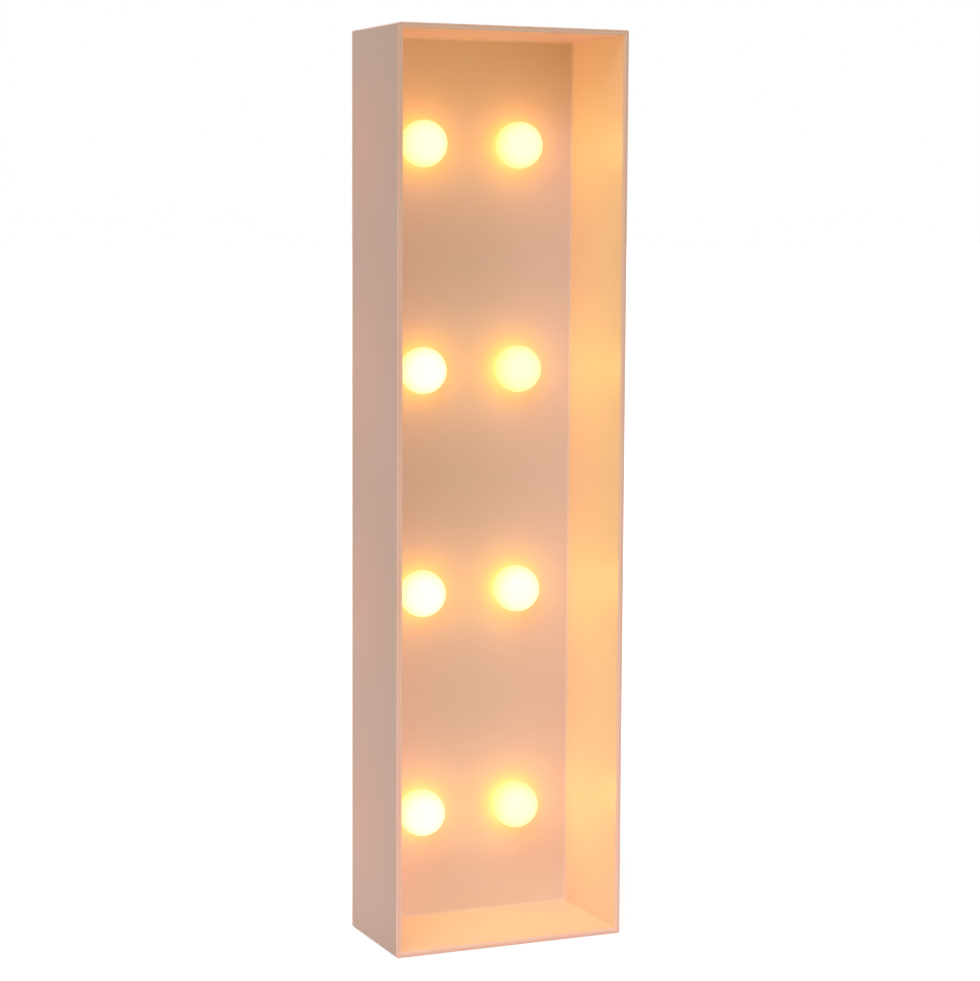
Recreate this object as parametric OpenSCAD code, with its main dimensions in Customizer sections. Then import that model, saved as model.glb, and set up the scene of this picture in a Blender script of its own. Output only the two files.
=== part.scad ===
// A light-up letter: an open tray with frosted bulbs on its floor, light boards behind the floor,
// and a rear housing with two AAA cells under a sliding door, a slide switch and a keyhole.
// Sizes are in millimetres. X runs across, Y from the front to the back, and Z up.
// The origin is on the ground, under the middle of the part.

/* [Letter tray] */
// Height of the letter
tray_h = 220; // [205:1:260]
// Width of the letter
tray_w = 59; // [56:0.5:70]
// Depth of the open front, from the rim to the floor
recess_d = 29; // [22:0.5:36]
// Thickness of the tray's walls
tray_wall = 1.25; // [0.9:0.05:1.8]
// Thickness of the floor that carries the bulbs
floor_t = 1.5; // [1.2:0.1:2.4]
// Radius of the tray's outer corners
corner_r = 0.5; // [0.2:0.1:1]
// Chamfer on both edges of the front rim
rim_chamfer = 0.3; // [0.1:0.05:0.4]
// Fillet where the floor meets the walls
floor_fillet = 0.6; // [0.4:0.1:2.5]
// Height of the rib behind the floor that locates the housing
locating_rib_h = 1.5; // [0.8:0.1:2.2]
// Thickness of the locating rib
locating_rib_t = 1; // [0.8:0.1:1.4]

/* [Bulbs] */
// Rows of bulbs
bulb_rows = 4; // [2:1:5]
// Distance from the tray's sides to the bulbs' centres
bulb_side = 16.85; // [15:0.05:19]
// Height of the lowest bulbs' centres
bulb_bottom = 28.2; // [25:0.1:40]
// Distance from the tray's top to the highest bulbs' centres
bulb_top = 26.8; // [24:0.1:40]
// Diameter of a globe
bulb_d = 11.4; // [10:0.1:14]
// Distance from a globe's centre to the floor
bulb_rise = 2.8; // [2:0.1:3.6]
// Thickness of a globe's wall
bulb_wall = 0.8; // [0.5:0.1:1.2]
// Diameter of the neck that passes through the floor
neck_d = 7.8; // [7.4:0.1:8.6]
// Thickness of the neck's wall
neck_wall = 0.8; // [0.6:0.1:1]
// How far the neck's snap rim stands out
snap_proud = 0.4; // [0.2:0.05:0.6]
// Length of the snap rim along the neck
snap_len = 0.9; // [0.6:0.1:1.2]
// Width of the slots that let the neck flex
snap_slot = 0.8; // [0.5:0.1:1.2]

/* [Light boards] */
// Width of a light board
board_w = 8; // [7:0.1:10]
// Thickness of a light board
board_t = 1; // [0.8:0.1:1.6]
// Gap between the floor and the boards
board_gap = 2.7; // [2.5:0.1:4]
// How far a board runs past its end lights
board_end = 5; // [4:0.1:6]
// Room behind the boards for solder and screw heads
board_room = 1.7; // [1.6:0.1:3]
// Diameter of a standoff under a board
standoff_d = 4; // [3.4:0.1:5]
// Diameter of a light's lens
led_d = 5; // [3:0.1:5.2]
// Length of a light from its flange to its tip
led_len = 8.6; // [7:0.1:9.4]
// Diameter of a light's flange
led_flange_d = 5.8; // [5.6:0.1:6]
// Thickness of a light's flange
led_flange_t = 1; // [0.8:0.1:1.2]
// Distance between a light's two leads
lead_pitch = 2.54; // [2:0.01:3]
// Width of a lead
lead_w = 0.5; // [0.4:0.05:0.6]
// How far a lead stands out behind its board
lead_stub = 1.2; // [0.9:0.1:1.4]
// Diameter of the solder at a lead
solder_d = 1.7; // [1.4:0.1:1.9]
// Height of the solder at a lead
solder_h = 0.7; // [0.5:0.05:0.9]
// Diameter of a board screw's shank
board_screw_d = 1.7; // [1.4:0.1:2]
// Length of a board screw's shank
board_screw_len = 4; // [3:0.1:4.6]
// Diameter of a board screw's head
board_screw_head_d = 3.2; // [2.8:0.1:3.8]
// Thickness of a board screw's head
board_screw_head_t = 1.2; // [0.9:0.1:1.4]
// Diameter of the resistor's body
resistor_d = 2.2; // [1.6:0.1:2.6]
// Diameter of the resistor's waist, between its end caps
resistor_waist_d = 1.9; // [1.2:0.1:2.2]
// Length of the resistor's body
resistor_len = 6.2; // [5:0.1:7]
// Diameter of the resistor's leads
resistor_lead_d = 0.6; // [0.4:0.05:0.8]
// Distance between the resistor's bent leads
resistor_pitch = 10; // [9:0.1:12]

/* [Battery bay] */
// Diameter of a cell
cell_d = 10.5; // [10:0.1:11]
// Length of a cell with its nub
cell_len = 44.5; // [43:0.1:46]
// Diameter of a cell's nub
nub_d = 3.8; // [3:0.1:4.4]
// Length of a cell's nub
nub_len = 0.8; // [0.6:0.1:1.2]
// Gap between the two cells
cell_space = 0.7; // [0.5:0.1:2]
// Gap between a cell and the bay's side
cell_side_gap = 0.4; // [0.2:0.1:1]
// Gap between a cell and the door
cell_door_gap = 0.4; // [0.3:0.1:1]
// Height of the bay's lower end
bay_bottom = 8; // [7:0.5:12]
// Thickness of the bay's walls
bay_wall = 1.2; // [0.9:0.1:1.6]
// Thickness of the wall between the bay and the boards
bay_floor_t = 1.1; // [0.8:0.1:1.6]
// Thickness of the contact plates
plate_t = 0.4; // [0.3:0.05:0.6]
// Width of a contact plate
plate_w = 9; // [8:0.1:10]
// Height of the button that meets a nub
button_h = 0.25; // [0.2:0.05:0.5]
// Diameter of the button
button_d = 2.4; // [1.6:0.1:3]
// Width of a solder tab
tab_w = 2.4; // [1.6:0.1:3]
// How far a solder tab stands above the bay
tab_h = 3.4; // [2:0.1:5]
// Length of a contact spring, pressed by its cell
spring_len = 4.8; // [4.6:0.1:6]
// Diameter of the spring's wide end
spring_wide_d = 7.6; // [7:0.1:8]
// Diameter of the spring's narrow end
spring_narrow_d = 4; // [3.4:0.1:4.4]
// Diameter of the spring's wire
spring_wire_d = 0.7; // [0.5:0.05:0.7]
// Turns of the spring
spring_turns = 3.5; // [2.5:0.5:3.5]

/* [Rear housing] */
// Width of the housing
housing_w = 44; // [43:0.5:50]
// Distance from the tray's top to the housing's top
housing_top = 8; // [5:0.5:10]
// Thickness of the housing's walls
housing_wall = 1.8; // [1.7:0.1:2.2]
// Radius of the housing's corners
housing_corner_r = 4; // [3:0.5:6]
// Chamfer along the housing's rear edges
housing_edge = 1.2; // [0.5:0.1:1.4]
// Height of the lower screws, under the battery door
cover_screw_bottom = 13; // [12:0.1:15]
// Diameter of a cover screw's shank
cover_screw_d = 2.3; // [2:0.1:2.6]
// Length of a cover screw's shank
cover_screw_len = 6.5; // [5:0.1:7]
// Diameter of a cover screw's head
cover_screw_head_d = 5; // [4.4:0.1:5.4]
// Thickness of a cover screw's head
cover_screw_head_t = 1.8; // [1.4:0.1:2.4]
// Height of the tray's screw bosses
boss_h = 6; // [5:0.1:8]
// Diameter of the tray's screw bosses
boss_d = 6; // [5:0.1:6.4]
// Thickness of the seat under a cover screw's head
screw_seat_t = 1.5; // [1.2:0.1:2.4]
// Thickness of the wall round a cover screw's well
screw_well_wall = 0.7; // [0.5:0.1:0.9]

/* [Battery door] */
// Thickness of the door
door_t = 1.6; // [1.5:0.05:1.7]
// How far the door's tongues reach under the lips
tongue_w = 1; // [0.6:0.1:1.2]
// Thickness of the tongues
tongue_t = 0.75; // [0.6:0.05:0.8]
// Thickness of the ledge that the door slides on
ledge_t = 1.2; // [1:0.1:1.6]
// Width of the housing's face left of the door
door_stop_w = 2.5; // [2:0.1:4]
// How far the door reaches past the bay, above and below
door_margin = 2.4; // [1.8:0.1:3]
// Number of grooves in the thumb grip
grip_grooves = 6; // [3:1:9]
// Distance between grooves
grip_pitch = 1.8; // [1.4:0.1:2.4]
// Width of a groove
grip_groove_w = 0.9; // [0.5:0.1:1.1]
// Depth of a groove
grip_groove_d = 0.45; // [0.2:0.05:0.6]
// Length of a groove
grip_len = 18; // [10:1:30]
// Distance from the last groove to the arrow that shows which way the door opens
arrow_gap = 4; // [2:0.1:5]
// Length of the arrow
arrow_len = 4; // [3:0.1:5]
// Height of the arrow
arrow_h = 6; // [4:0.1:8]

/* [Switch] */
// Height of the switch above the battery bay
switch_above_bay = 66; // [55:1:75]
// Travel of the knob
switch_travel = 4; // [3:0.1:4.4]
// Width of the knob along its travel
knob_w = 4; // [3:0.1:4.4]
// Height of the knob across its travel
knob_h = 3; // [2.5:0.1:3.4]
// How far the knob's tip lies below the housing's rear face
knob_sunk = 0.4; // [0.3:0.1:1]
// Depth of the recess round the knob
dish_d = 2.4; // [2:0.1:3]
// Width of the recess
dish_w = 16; // [14:0.5:17]
// Height of the recess
dish_h = 9; // [7:0.5:11]
// Thickness of the recess's walls
dish_wall = 1.4; // [1.2:0.1:1.8]
// Radius of the recess's corners
dish_r = 1.5; // [0.5:0.1:2.5]
// Width of the switch's body
switch_body_w = 15; // [14.5:0.1:17]
// Height of the switch's body
switch_body_h = 7; // [6.5:0.1:8]
// Depth of the switch's body
switch_body_d = 5; // [4.6:0.1:5.4]
// Thickness of the switch body's walls
switch_body_wall = 0.8; // [0.6:0.1:1]
// Thickness of the metal frame
switch_frame_t = 0.5; // [0.4:0.05:0.7]
// Distance between the frame's screws
switch_screw_pitch = 24; // [23.5:0.1:25]
// Distance from a frame screw to the frame's end
switch_ear = 2.4; // [2:0.1:3]
// Diameter of a frame screw's shank
switch_screw_d = 1.7; // [1.4:0.1:2]
// Diameter of a frame screw's head
switch_screw_head_d = 3.2; // [2.8:0.1:3.6]
// Thickness of a frame screw's head
switch_screw_head_t = 1.2; // [0.9:0.1:1.5]
// Distance between the switch's terminals
terminal_pitch = 4; // [3:0.1:4.4]
// Width of a terminal
terminal_w = 1.4; // [1:0.1:1.8]
// Thickness of a terminal
terminal_t = 0.5; // [0.4:0.05:0.6]
// Length of a terminal
terminal_len = 3; // [2.4:0.1:3.2]
// Diameter of the eye in a terminal
terminal_eye_d = 0.7; // [0.5:0.1:0.8]
// Distance from the recess to the middle of the on mark, and of the off mark
mark_gap = 3.5; // [3:0.1:4]
// Height of the marks
mark_h = 4; // [3:0.1:5]
// Width of the marks' strokes
mark_w = 0.8; // [0.5:0.1:1]
// Depth of the marks, and of the door's arrow
mark_d = 0.3; // [0.2:0.05:0.5]

/* [Keyhole] */
// Distance from the housing's top to the keyhole's round entry
keyhole_top = 24; // [22:0.5:32]
// Diameter of the round entry
keyhole_d = 8; // [7:0.1:9]
// Width of the slot above the entry
keyhole_slot_w = 4.2; // [3.4:0.1:4.6]
// Height of the slot above the entry's centre
keyhole_rise = 8; // [7:0.1:10]
// Depth of the pocket behind the keyhole
pocket_d = 5; // [4:0.1:6]
// Gap between the keyhole and the pocket's walls
pocket_gap = 1.5; // [1:0.1:2]
// Thickness of the pocket's walls
pocket_wall = 1; // [0.8:0.1:1.4]

/* [Wires] */
// Diameter of a wire with its insulation
wire_d = 1.2; // [0.9:0.1:1.3]
// How far the wires bow out behind the boards
wire_bow = 2.8; // [2.6:0.1:3]
// How far the long wire to the switch bows aside and back with its slack
wire_slack = 5; // [3:0.5:6]
// Length of each step of a wire's straight end on a board
wire_stub = 0.7; // [0.6:0.05:0.8]
// Length over which a wire turns onto a board
wire_turn = 3; // [2.5:0.1:4]
// Length of each step of a wire's straight end above a battery tab
tab_wire_run = 4; // [3:0.5:6]
// Length of each step of a wire's straight end at a switch terminal
terminal_wire_run = 3; // [2:0.5:4]

/* [Clearances] */
// Gap between pieces that slide on each other
run_gap = 0.2; // [0.15:0.05:0.3]
// Gap between the door and the ledge that it slides on
ledge_gap = 0.1; // [0.05:0.05:0.2]
// Gap round necks, shanks and tabs in their holes
fit_gap = 0.1; // [0.05:0.05:0.2]
// Gap at soldered and pressed contacts
touch_gap = 0.05; // [0.02:0.01:0.08]

/* [Hidden] */
$fn = 64;
TUBE_SIDES = 8;
SPRING_SIDES = 6;
SPRING_RINGS = 8;
// The fewest rings in a stretch of wire, and the most diameters between two rings
CURVE_STEPS = 4;
RING_STEP = 2.5;
KNOB_GROOVES = 3;
// How far a cut reaches past the face that it opens
CUT = 1;
// A screw's cross recess, as shares of its head's diameter
CROSS_LEN = 0.6;
CROSS_W = 0.16;
// Where the boards' pads and the resistor lie, as shares of the way from one row of lights to the next
PAD_AT = 0.25;
LINK_AT = 0.36;
RESISTOR_AT = 0.72;
// The slope past which a path counts as upright
STEEP = 0.9;
SIDES = [-1, 1];
SIDE_NAMES = ["left", "right"];

// Depths, measured from the front rim towards the back
back_d = recess_d + floor_t;
board_front_d = back_d + board_gap;
board_back_d = board_front_d + board_t;
bay_front_d = board_back_d + board_room;
bay_floor_d = bay_front_d + bay_floor_t;
cell_axis_d = bay_floor_d + fit_gap + cell_d / 2;
door_front_d = cell_axis_d + cell_d / 2 + cell_door_gap;
rear_d = door_front_d + door_t;
ledge_d = door_front_d - ledge_gap;
inner_rear_d = rear_d - housing_wall;
boss_end_d = back_d + boss_h;
screw_seat_d = boss_end_d + screw_seat_t;
dish_floor_d = rear_d - dish_d;
switch_front_d = dish_floor_d - dish_wall - switch_frame_t;
switch_frame_back_d = switch_front_d + switch_frame_t;
switch_body_front_d = switch_front_d - switch_body_d;
slider_base_t = switch_body_d - 2 * switch_body_wall - 2 * run_gap;

// Places across and up
bulb_x = tray_w / 2 - bulb_side;
row_pitch = (tray_h - bulb_bottom - bulb_top) / (bulb_rows - 1);
rows = [for (i = [0 : bulb_rows - 1]) bulb_bottom + i * row_pitch];
gaps_between_rows = [for (i = [0 : bulb_rows - 2]) bulb_bottom + (i + 0.5) * row_pitch];
board_low = bulb_bottom - board_end;
board_high = tray_h - bulb_top + board_end;
housing_h = tray_h - housing_top;
// The screw bosses stand half in the locating rib
cover_screw_inset = housing_wall + run_gap + locating_rib_t / 2 + boss_d / 2;
cover_screw_x = housing_w / 2 - cover_screw_inset;
cover_screw_heights = [cover_screw_bottom, housing_h - cover_screw_inset];
well_d = cover_screw_head_d + 2 * fit_gap + 2 * screw_well_wall;
cell_x = (cell_d + cell_space) / 2;
bay_w = 2 * cell_d + cell_space + 2 * cell_side_gap;
bay_len = cell_len + spring_len + button_h + touch_gap + 2 * plate_t;
bay_top = bay_bottom + bay_len;
door_low = bay_bottom - door_margin;
door_high = bay_top + door_margin;
door_left = -housing_w / 2 + door_stop_w;
switch_z = bay_top + switch_above_bay;
slot_w = knob_w + switch_travel + 2 * run_gap;
slot_h = knob_h + 2 * run_gap;
keyhole_z = housing_h - keyhole_top;
tab_front_d = cell_axis_d - plate_w / 2;
tab_tip_z = bay_top + bay_wall + tab_h;

// Where the wires meet their pads
wire_pad_low_z = rows[1] + PAD_AT * row_pitch;
wire_link_low_z = rows[1] + LINK_AT * row_pitch;
resistor_z = rows[1] + RESISTOR_AT * row_pitch;
wire_pad_high_z = rows[bulb_rows - 2] + PAD_AT * row_pitch;
wire_link_high_z = rows[bulb_rows - 2] + LINK_AT * row_pitch;
wire_lane_d = board_back_d + wire_bow;

BULBS = [for (s = SIDE_NAMES, i = [1 : bulb_rows]) str("bulb_", s, "_", i)];
LEDS = [for (s = SIDE_NAMES, i = [1 : bulb_rows]) str("led_", s, "_", i)];
BOARDS = [for (s = SIDE_NAMES) str("light_board_", s)];

// The Y coordinate of a depth behind the front rim
function y_of(d) = d - rear_d / 2;
function unit(v) = v / norm(v);

// A smooth curve through the given points, with more steps in a longer stretch
function curve_point(a, b, c, e, t) =
    0.5 * (2 * b + (c - a) * t + (2 * a - 5 * b + 4 * c - e) * t * t + (3 * b - a - 3 * c + e) * t * t * t);
function curve_steps(a, b) = max(CURVE_STEPS, ceil(norm(b - a) / (RING_STEP * wire_d)));
function curve(p) = concat(
    [for (i = [0 : len(p) - 2]) let (steps = curve_steps(p[i], p[i + 1])) for (k = [0 : steps - 1])
        curve_point(p[max(i - 1, 0)], p[i], p[i + 1], p[min(i + 2, len(p) - 1)], k / steps)],
    [p[len(p) - 1]]);

// Side directions carried along a path, so that a tube doesn't twist
function carried(t, u, i = 0) =
    i == len(t) ? [] : let (v = unit(u - (u * t[i]) * t[i])) concat([v], carried(t, v, i + 1));

// A round tube of triangles along a path
module tube(p, d, sides) {
    n = len(p);
    t = [for (i = [0 : n - 1]) unit(p[min(i + 1, n - 1)] - p[max(i - 1, 0)])];
    u = carried(t, abs(t[0].z) < STEEP ? cross(t[0], [0, 0, 1]) : cross(t[0], [1, 0, 0]));
    points = [for (i = [0 : n - 1], k = [0 : sides - 1])
        let (a = 360 * k / sides) p[i] + d / 2 * (cos(a) * u[i] + sin(a) * cross(t[i], u[i]))];
    last = (n - 1) * sides;
    faces = concat(
        [for (i = [0 : n - 2], k = [0 : sides - 1])
            [i * sides + k, (i + 1) * sides + k, (i + 1) * sides + (k + 1) % sides]],
        [for (i = [0 : n - 2], k = [0 : sides - 1])
            [i * sides + k, (i + 1) * sides + (k + 1) % sides, i * sides + (k + 1) % sides]],
        [for (k = [1 : sides - 2]) [0, k, k + 1]],
        [for (k = [1 : sides - 2]) [last, last + k + 1, last + k]]);
    polyhedron(points, faces);
}

// A flat shape drawn in X and Z, given thickness from one depth to another
module slab(from_d, to_d) {
    translate([0, y_of(to_d), 0]) rotate([90, 0, 0]) linear_extrude(to_d - from_d) children();
}

// A rectangle that is centred on X, between two heights
module panel(w, low, high) {
    translate([-w / 2, low]) square([w, high - low]);
}

// The same rectangle with round corners
module round_panel(w, low, high, r) {
    panel(w - 2 * r, low, high);
    panel(w, low + r, high - r);
    for (s = SIDES, z = [low + r, high - r]) translate([s * (w / 2 - r), z]) circle(r);
}

// An upright slot with round ends, centred on X
module round_slot(w, low, high) {
    panel(w, low + w / 2, high - w / 2);
    for (z = [low + w / 2, high - w / 2]) translate([0, z]) circle(d = w);
}

// Turns a shape so that its own Z points to the back, at a depth behind the rim
module facing_back(x, d, z) {
    translate([x, y_of(d), z]) rotate([-90, 0, 0]) children();
}

// Turns a shape so that its own Z points to the front
module facing_front(x, d, z) {
    translate([x, y_of(d), z]) rotate([90, 0, 0]) children();
}

// A screw with a crowned pan head and a cross recess: its head seats on its own Z = 0
module pan_screw(shank_d, shank_len, head_d, head_t) {
    cross_l = CROSS_LEN * head_d;
    cross_w = CROSS_W * head_d;
    edge_r = head_t / 2;
    translate([0, 0, -shank_len]) cylinder(d = shank_d, h = shank_len);
    difference() {
        rotate_extrude() {
            square([head_d / 2, head_t - edge_r]);
            square([head_d / 2 - edge_r, head_t]);
            translate([head_d / 2 - edge_r, head_t - edge_r]) circle(edge_r);
        }
        for (a = [0, 90]) rotate([0, 0, a])
            translate([-cross_l / 2, -cross_w / 2, head_t / 2]) cube([cross_l, cross_w, head_t]);
    }
}

// The outline of a chamfer that straddles an edge
module edge_cut(c) {
    polygon([[c, 0], [0, c], [-c, 0], [0, -c]]);
}

// The outline of a fillet in a corner at the origin, with a root that reaches into both walls
module fillet_shape(r, root) {
    difference() {
        translate([-root, -root]) square(r + root);
        translate([r, r]) circle(r);
    }
}

// Fillets along the four edges of the tray's floor
module floor_fillets() {
    inner_x = tray_w / 2 - tray_wall;
    long = tray_h - 2 * tray_wall;
    wide = tray_w - 2 * tray_wall;
    root = tray_wall / 4;
    y = y_of(recess_d);
    translate([inner_x, y, tray_wall]) rotate([0, 0, 180])
        linear_extrude(long) fillet_shape(floor_fillet, root);
    translate([-inner_x, y, tray_wall]) rotate([0, 0, -90])
        linear_extrude(long) fillet_shape(floor_fillet, root);
    translate([-inner_x, y, tray_wall]) rotate([0, 90, 0]) rotate([0, 0, 180])
        linear_extrude(wide) fillet_shape(floor_fillet, root);
    translate([-inner_x, y, tray_h - tray_wall]) rotate([0, 90, 0]) rotate([0, 0, -90])
        linear_extrude(wide) fillet_shape(floor_fillet, root);
}

// Chamfers along the rim: inset 0 is its outer edge
module rim_cuts(inset) {
    reach = inset == 0 ? CUT : 0;
    for (s = SIDES) translate([s * (tray_w / 2 - inset), y_of(0), inset - reach])
        linear_extrude(tray_h - 2 * inset + 2 * reach) edge_cut(rim_chamfer);
    for (z = [inset, tray_h - inset]) translate([-tray_w / 2 + inset - reach, y_of(0), z])
        rotate([0, 90, 0]) linear_extrude(tray_w - 2 * inset + 2 * reach) edge_cut(rim_chamfer);
}

// The inside of the housing, seen from the front, drawn in by a gap
module housing_inside(gap) {
    round_panel(housing_w - 2 * housing_wall - 2 * gap, housing_wall + gap, housing_h - housing_wall - gap,
        max(housing_corner_r - housing_wall - gap, fit_gap));
}

module front_tray() {
    color("linen") difference() {
        union() {
            difference() {
                slab(0, back_d) round_panel(tray_w, 0, tray_h, corner_r);
                slab(-CUT, recess_d) panel(tray_w - 2 * tray_wall, tray_wall, tray_h - tray_wall);
            }
            floor_fillets();
            slab(recess_d + floor_t / 2, back_d + locating_rib_h) difference() {
                housing_inside(run_gap);
                housing_inside(run_gap + locating_rib_t);
            }
            for (s = SIDES, z = gaps_between_rows)
                facing_back(s * bulb_x, recess_d + floor_t / 2, z)
                    cylinder(d = standoff_d, h = floor_t / 2 + board_gap);
            for (s = SIDES, z = cover_screw_heights)
                facing_back(s * cover_screw_x, recess_d + floor_t / 2, z)
                    cylinder(d = boss_d, h = floor_t / 2 + boss_h);
        }
        rim_cuts(0);
        rim_cuts(tray_wall);
        for (s = SIDES, z = rows)
            facing_back(s * bulb_x, recess_d - CUT, z)
                cylinder(d = neck_d + 2 * fit_gap, h = floor_t + 2 * CUT);
        for (s = SIDES, z = gaps_between_rows)
            facing_front(s * bulb_x, board_front_d + CUT, z)
                cylinder(d = board_screw_d + 2 * touch_gap, h = board_screw_len - board_t + fit_gap + CUT);
        for (s = SIDES, z = cover_screw_heights)
            facing_front(s * cover_screw_x, boss_end_d + CUT, z)
                cylinder(d = cover_screw_d + 2 * touch_gap,
                    h = cover_screw_len - screw_seat_t + fit_gap + CUT);
    }
}

// A hollow globe with a flat seat and a slotted neck that snaps behind the floor
module bulb(x, z) {
    r = bulb_d / 2;
    neck_r = neck_d / 2;
    snap_at = floor_t + fit_gap;
    snap_end = snap_at + snap_len;
    color("lightyellow") facing_back(x, recess_d, z) difference() {
        rotate_extrude() difference() {
            union() {
                intersection() {
                    translate([0, -bulb_rise]) circle(r);
                    translate([0, -2 * bulb_d]) square([bulb_d, 2 * bulb_d]);
                }
                translate([0, -bulb_wall]) square([neck_r, snap_end + bulb_wall]);
                polygon([[0, snap_at], [neck_r + snap_proud, snap_at],
                    [neck_r + snap_proud, snap_at + snap_len / 3],
                    [neck_r - neck_wall / 4, snap_end], [0, snap_end]]);
            }
            intersection() {
                translate([0, -bulb_rise]) circle(r - bulb_wall);
                translate([0, -2 * bulb_d]) square([bulb_d, 2 * bulb_d - bulb_wall]);
            }
            translate([0, -bulb_rise]) square([neck_r - neck_wall, bulb_rise + snap_end + CUT]);
        }
        for (a = [0, 90]) rotate([0, 0, a])
            translate([-bulb_d, -snap_slot / 2, floor_t / 3]) cube([2 * bulb_d, snap_slot, snap_end]);
    }
}

// A round light with a flat on its flange, and two soldered leads
module led(x, z) {
    lens_r = led_d / 2;
    color("gold") facing_front(x, board_front_d, z) {
        difference() {
            cylinder(d = led_flange_d, h = led_flange_t);
            translate([lens_r, -led_flange_d, -CUT])
                cube([led_flange_d, 2 * led_flange_d, led_flange_t + 2 * CUT]);
        }
        cylinder(d = led_d, h = led_len - lens_r);
        translate([0, 0, led_len - lens_r]) sphere(lens_r);
        for (s = SIDES) translate([s * lead_pitch / 2, 0, 0]) {
            translate([-lead_w / 2, -lead_w / 2, -board_t - lead_stub])
                cube([lead_w, lead_w, board_t + lead_stub]);
            translate([0, 0, -board_t - solder_h]) cylinder(d1 = lead_w, d2 = solder_d, h = solder_h);
        }
    }
}

module light_board(s) {
    color("darkgreen") slab(board_front_d, board_back_d) difference() {
        translate([s * bulb_x, 0]) panel(board_w, board_low, board_high);
        for (z = rows, side = SIDES) translate([s * bulb_x + side * lead_pitch / 2, z]) circle(lead_w);
        for (z = gaps_between_rows) translate([s * bulb_x, z]) circle(d = board_screw_d + 2 * fit_gap);
        if (s < 0) for (side = SIDES)
            translate([s * bulb_x, resistor_z + side * resistor_pitch / 2])
                circle(d = resistor_lead_d + 2 * fit_gap);
    }
}

module board_screws() {
    color("silver") for (s = SIDES, z = gaps_between_rows) facing_back(s * bulb_x, board_back_d, z)
        pan_screw(board_screw_d, board_screw_len, board_screw_head_d, board_screw_head_t);
}

// A dumb-bell shaped resistor that lies behind the left board, with its leads bent into the board
module resistor() {
    axis_d = board_back_d + fit_gap + resistor_d / 2;
    cap_len = resistor_len / 4;
    color("tan") translate([-bulb_x, y_of(axis_d), resistor_z]) {
        cylinder(d = resistor_waist_d, h = resistor_len, center = true);
        for (s = SIDES) translate([0, 0, s * (resistor_len - cap_len) / 2])
            cylinder(d = resistor_d, h = cap_len, center = true);
        cylinder(d = resistor_lead_d, h = resistor_pitch, center = true);
        for (s = SIDES) translate([0, 0, s * resistor_pitch / 2]) {
            sphere(d = resistor_lead_d);
            rotate([90, 0, 0]) cylinder(d = resistor_lead_d, h = axis_d - board_front_d);
        }
    }
}

// The outer form of the housing, with chamfered rear edges
module housing_outside() {
    hull() {
        slab(back_d, rear_d - housing_edge) round_panel(housing_w, 0, housing_h, housing_corner_r, $fn = 32);
        slab(rear_d - housing_edge, rear_d) round_panel(housing_w - 2 * housing_edge, housing_edge,
            housing_h - housing_edge, housing_corner_r - housing_edge, $fn = 32);
    }
}

// The keyhole's outline, grown by a gap
module keyhole_shape(gap) {
    translate([0, keyhole_z]) circle(d = keyhole_d + 2 * gap);
    panel(keyhole_slot_w + 2 * gap, keyhole_z, keyhole_z + keyhole_rise);
    translate([0, keyhole_z + keyhole_rise]) circle(d = keyhole_slot_w + 2 * gap);
}

module keyhole_pocket(gap) {
    panel(keyhole_d + 2 * gap, keyhole_z - keyhole_d / 2 - gap,
        keyhole_z + keyhole_rise + keyhole_slot_w / 2 + gap);
}

// What stands inside the housing's shell
module housing_inner_walls() {
    join_d = rear_d - housing_wall / 2;
    slab(bay_front_d, join_d) panel(bay_w + 2 * bay_wall, bay_bottom - bay_wall, bay_top + bay_wall);
    slab(ledge_d - ledge_t, ledge_d)
        panel(housing_w - housing_wall, door_low - 2 * tongue_w, door_high + 2 * tongue_w);
    slab(dish_floor_d - dish_wall, join_d)
        panel(dish_w + 2 * dish_wall, switch_z - dish_h / 2 - dish_wall, switch_z + dish_h / 2 + dish_wall);
    slab(inner_rear_d - pocket_d - pocket_wall, join_d) keyhole_pocket(pocket_gap + pocket_wall);
    for (s = SIDES, z = cover_screw_heights) facing_back(s * cover_screw_x, boss_end_d, z)
        cylinder(d = well_d, h = ledge_d - boss_end_d);
    for (s = SIDES) facing_back(s * switch_screw_pitch / 2, switch_frame_back_d, switch_z)
        cylinder(d = switch_screw_head_d + screw_well_wall, h = join_d - switch_frame_back_d);
}

// The door's way: the recess that it fills, and the grooves for its tongues
module door_way() {
    way_right = housing_w / 2 + CUT;
    groove = tongue_w + run_gap;
    slab(ledge_d, rear_d + CUT) translate([door_left, door_low])
        square([way_right - door_left, door_high - door_low]);
    slab(ledge_d, door_front_d + tongue_t + ledge_gap) translate([door_left, door_low - groove])
        square([way_right - door_left, door_high - door_low + 2 * groove]);
}

// The switch's marks: a bar where it is on, and a ring where it is off
module switch_marks() {
    mark_x = dish_w / 2 + mark_gap;
    translate([-mark_x, 0]) panel(mark_w, switch_z - mark_h / 2, switch_z + mark_h / 2);
    translate([mark_x, switch_z]) difference() {
        circle(d = mark_h);
        circle(d = mark_h - 2 * mark_w);
    }
}

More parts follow.
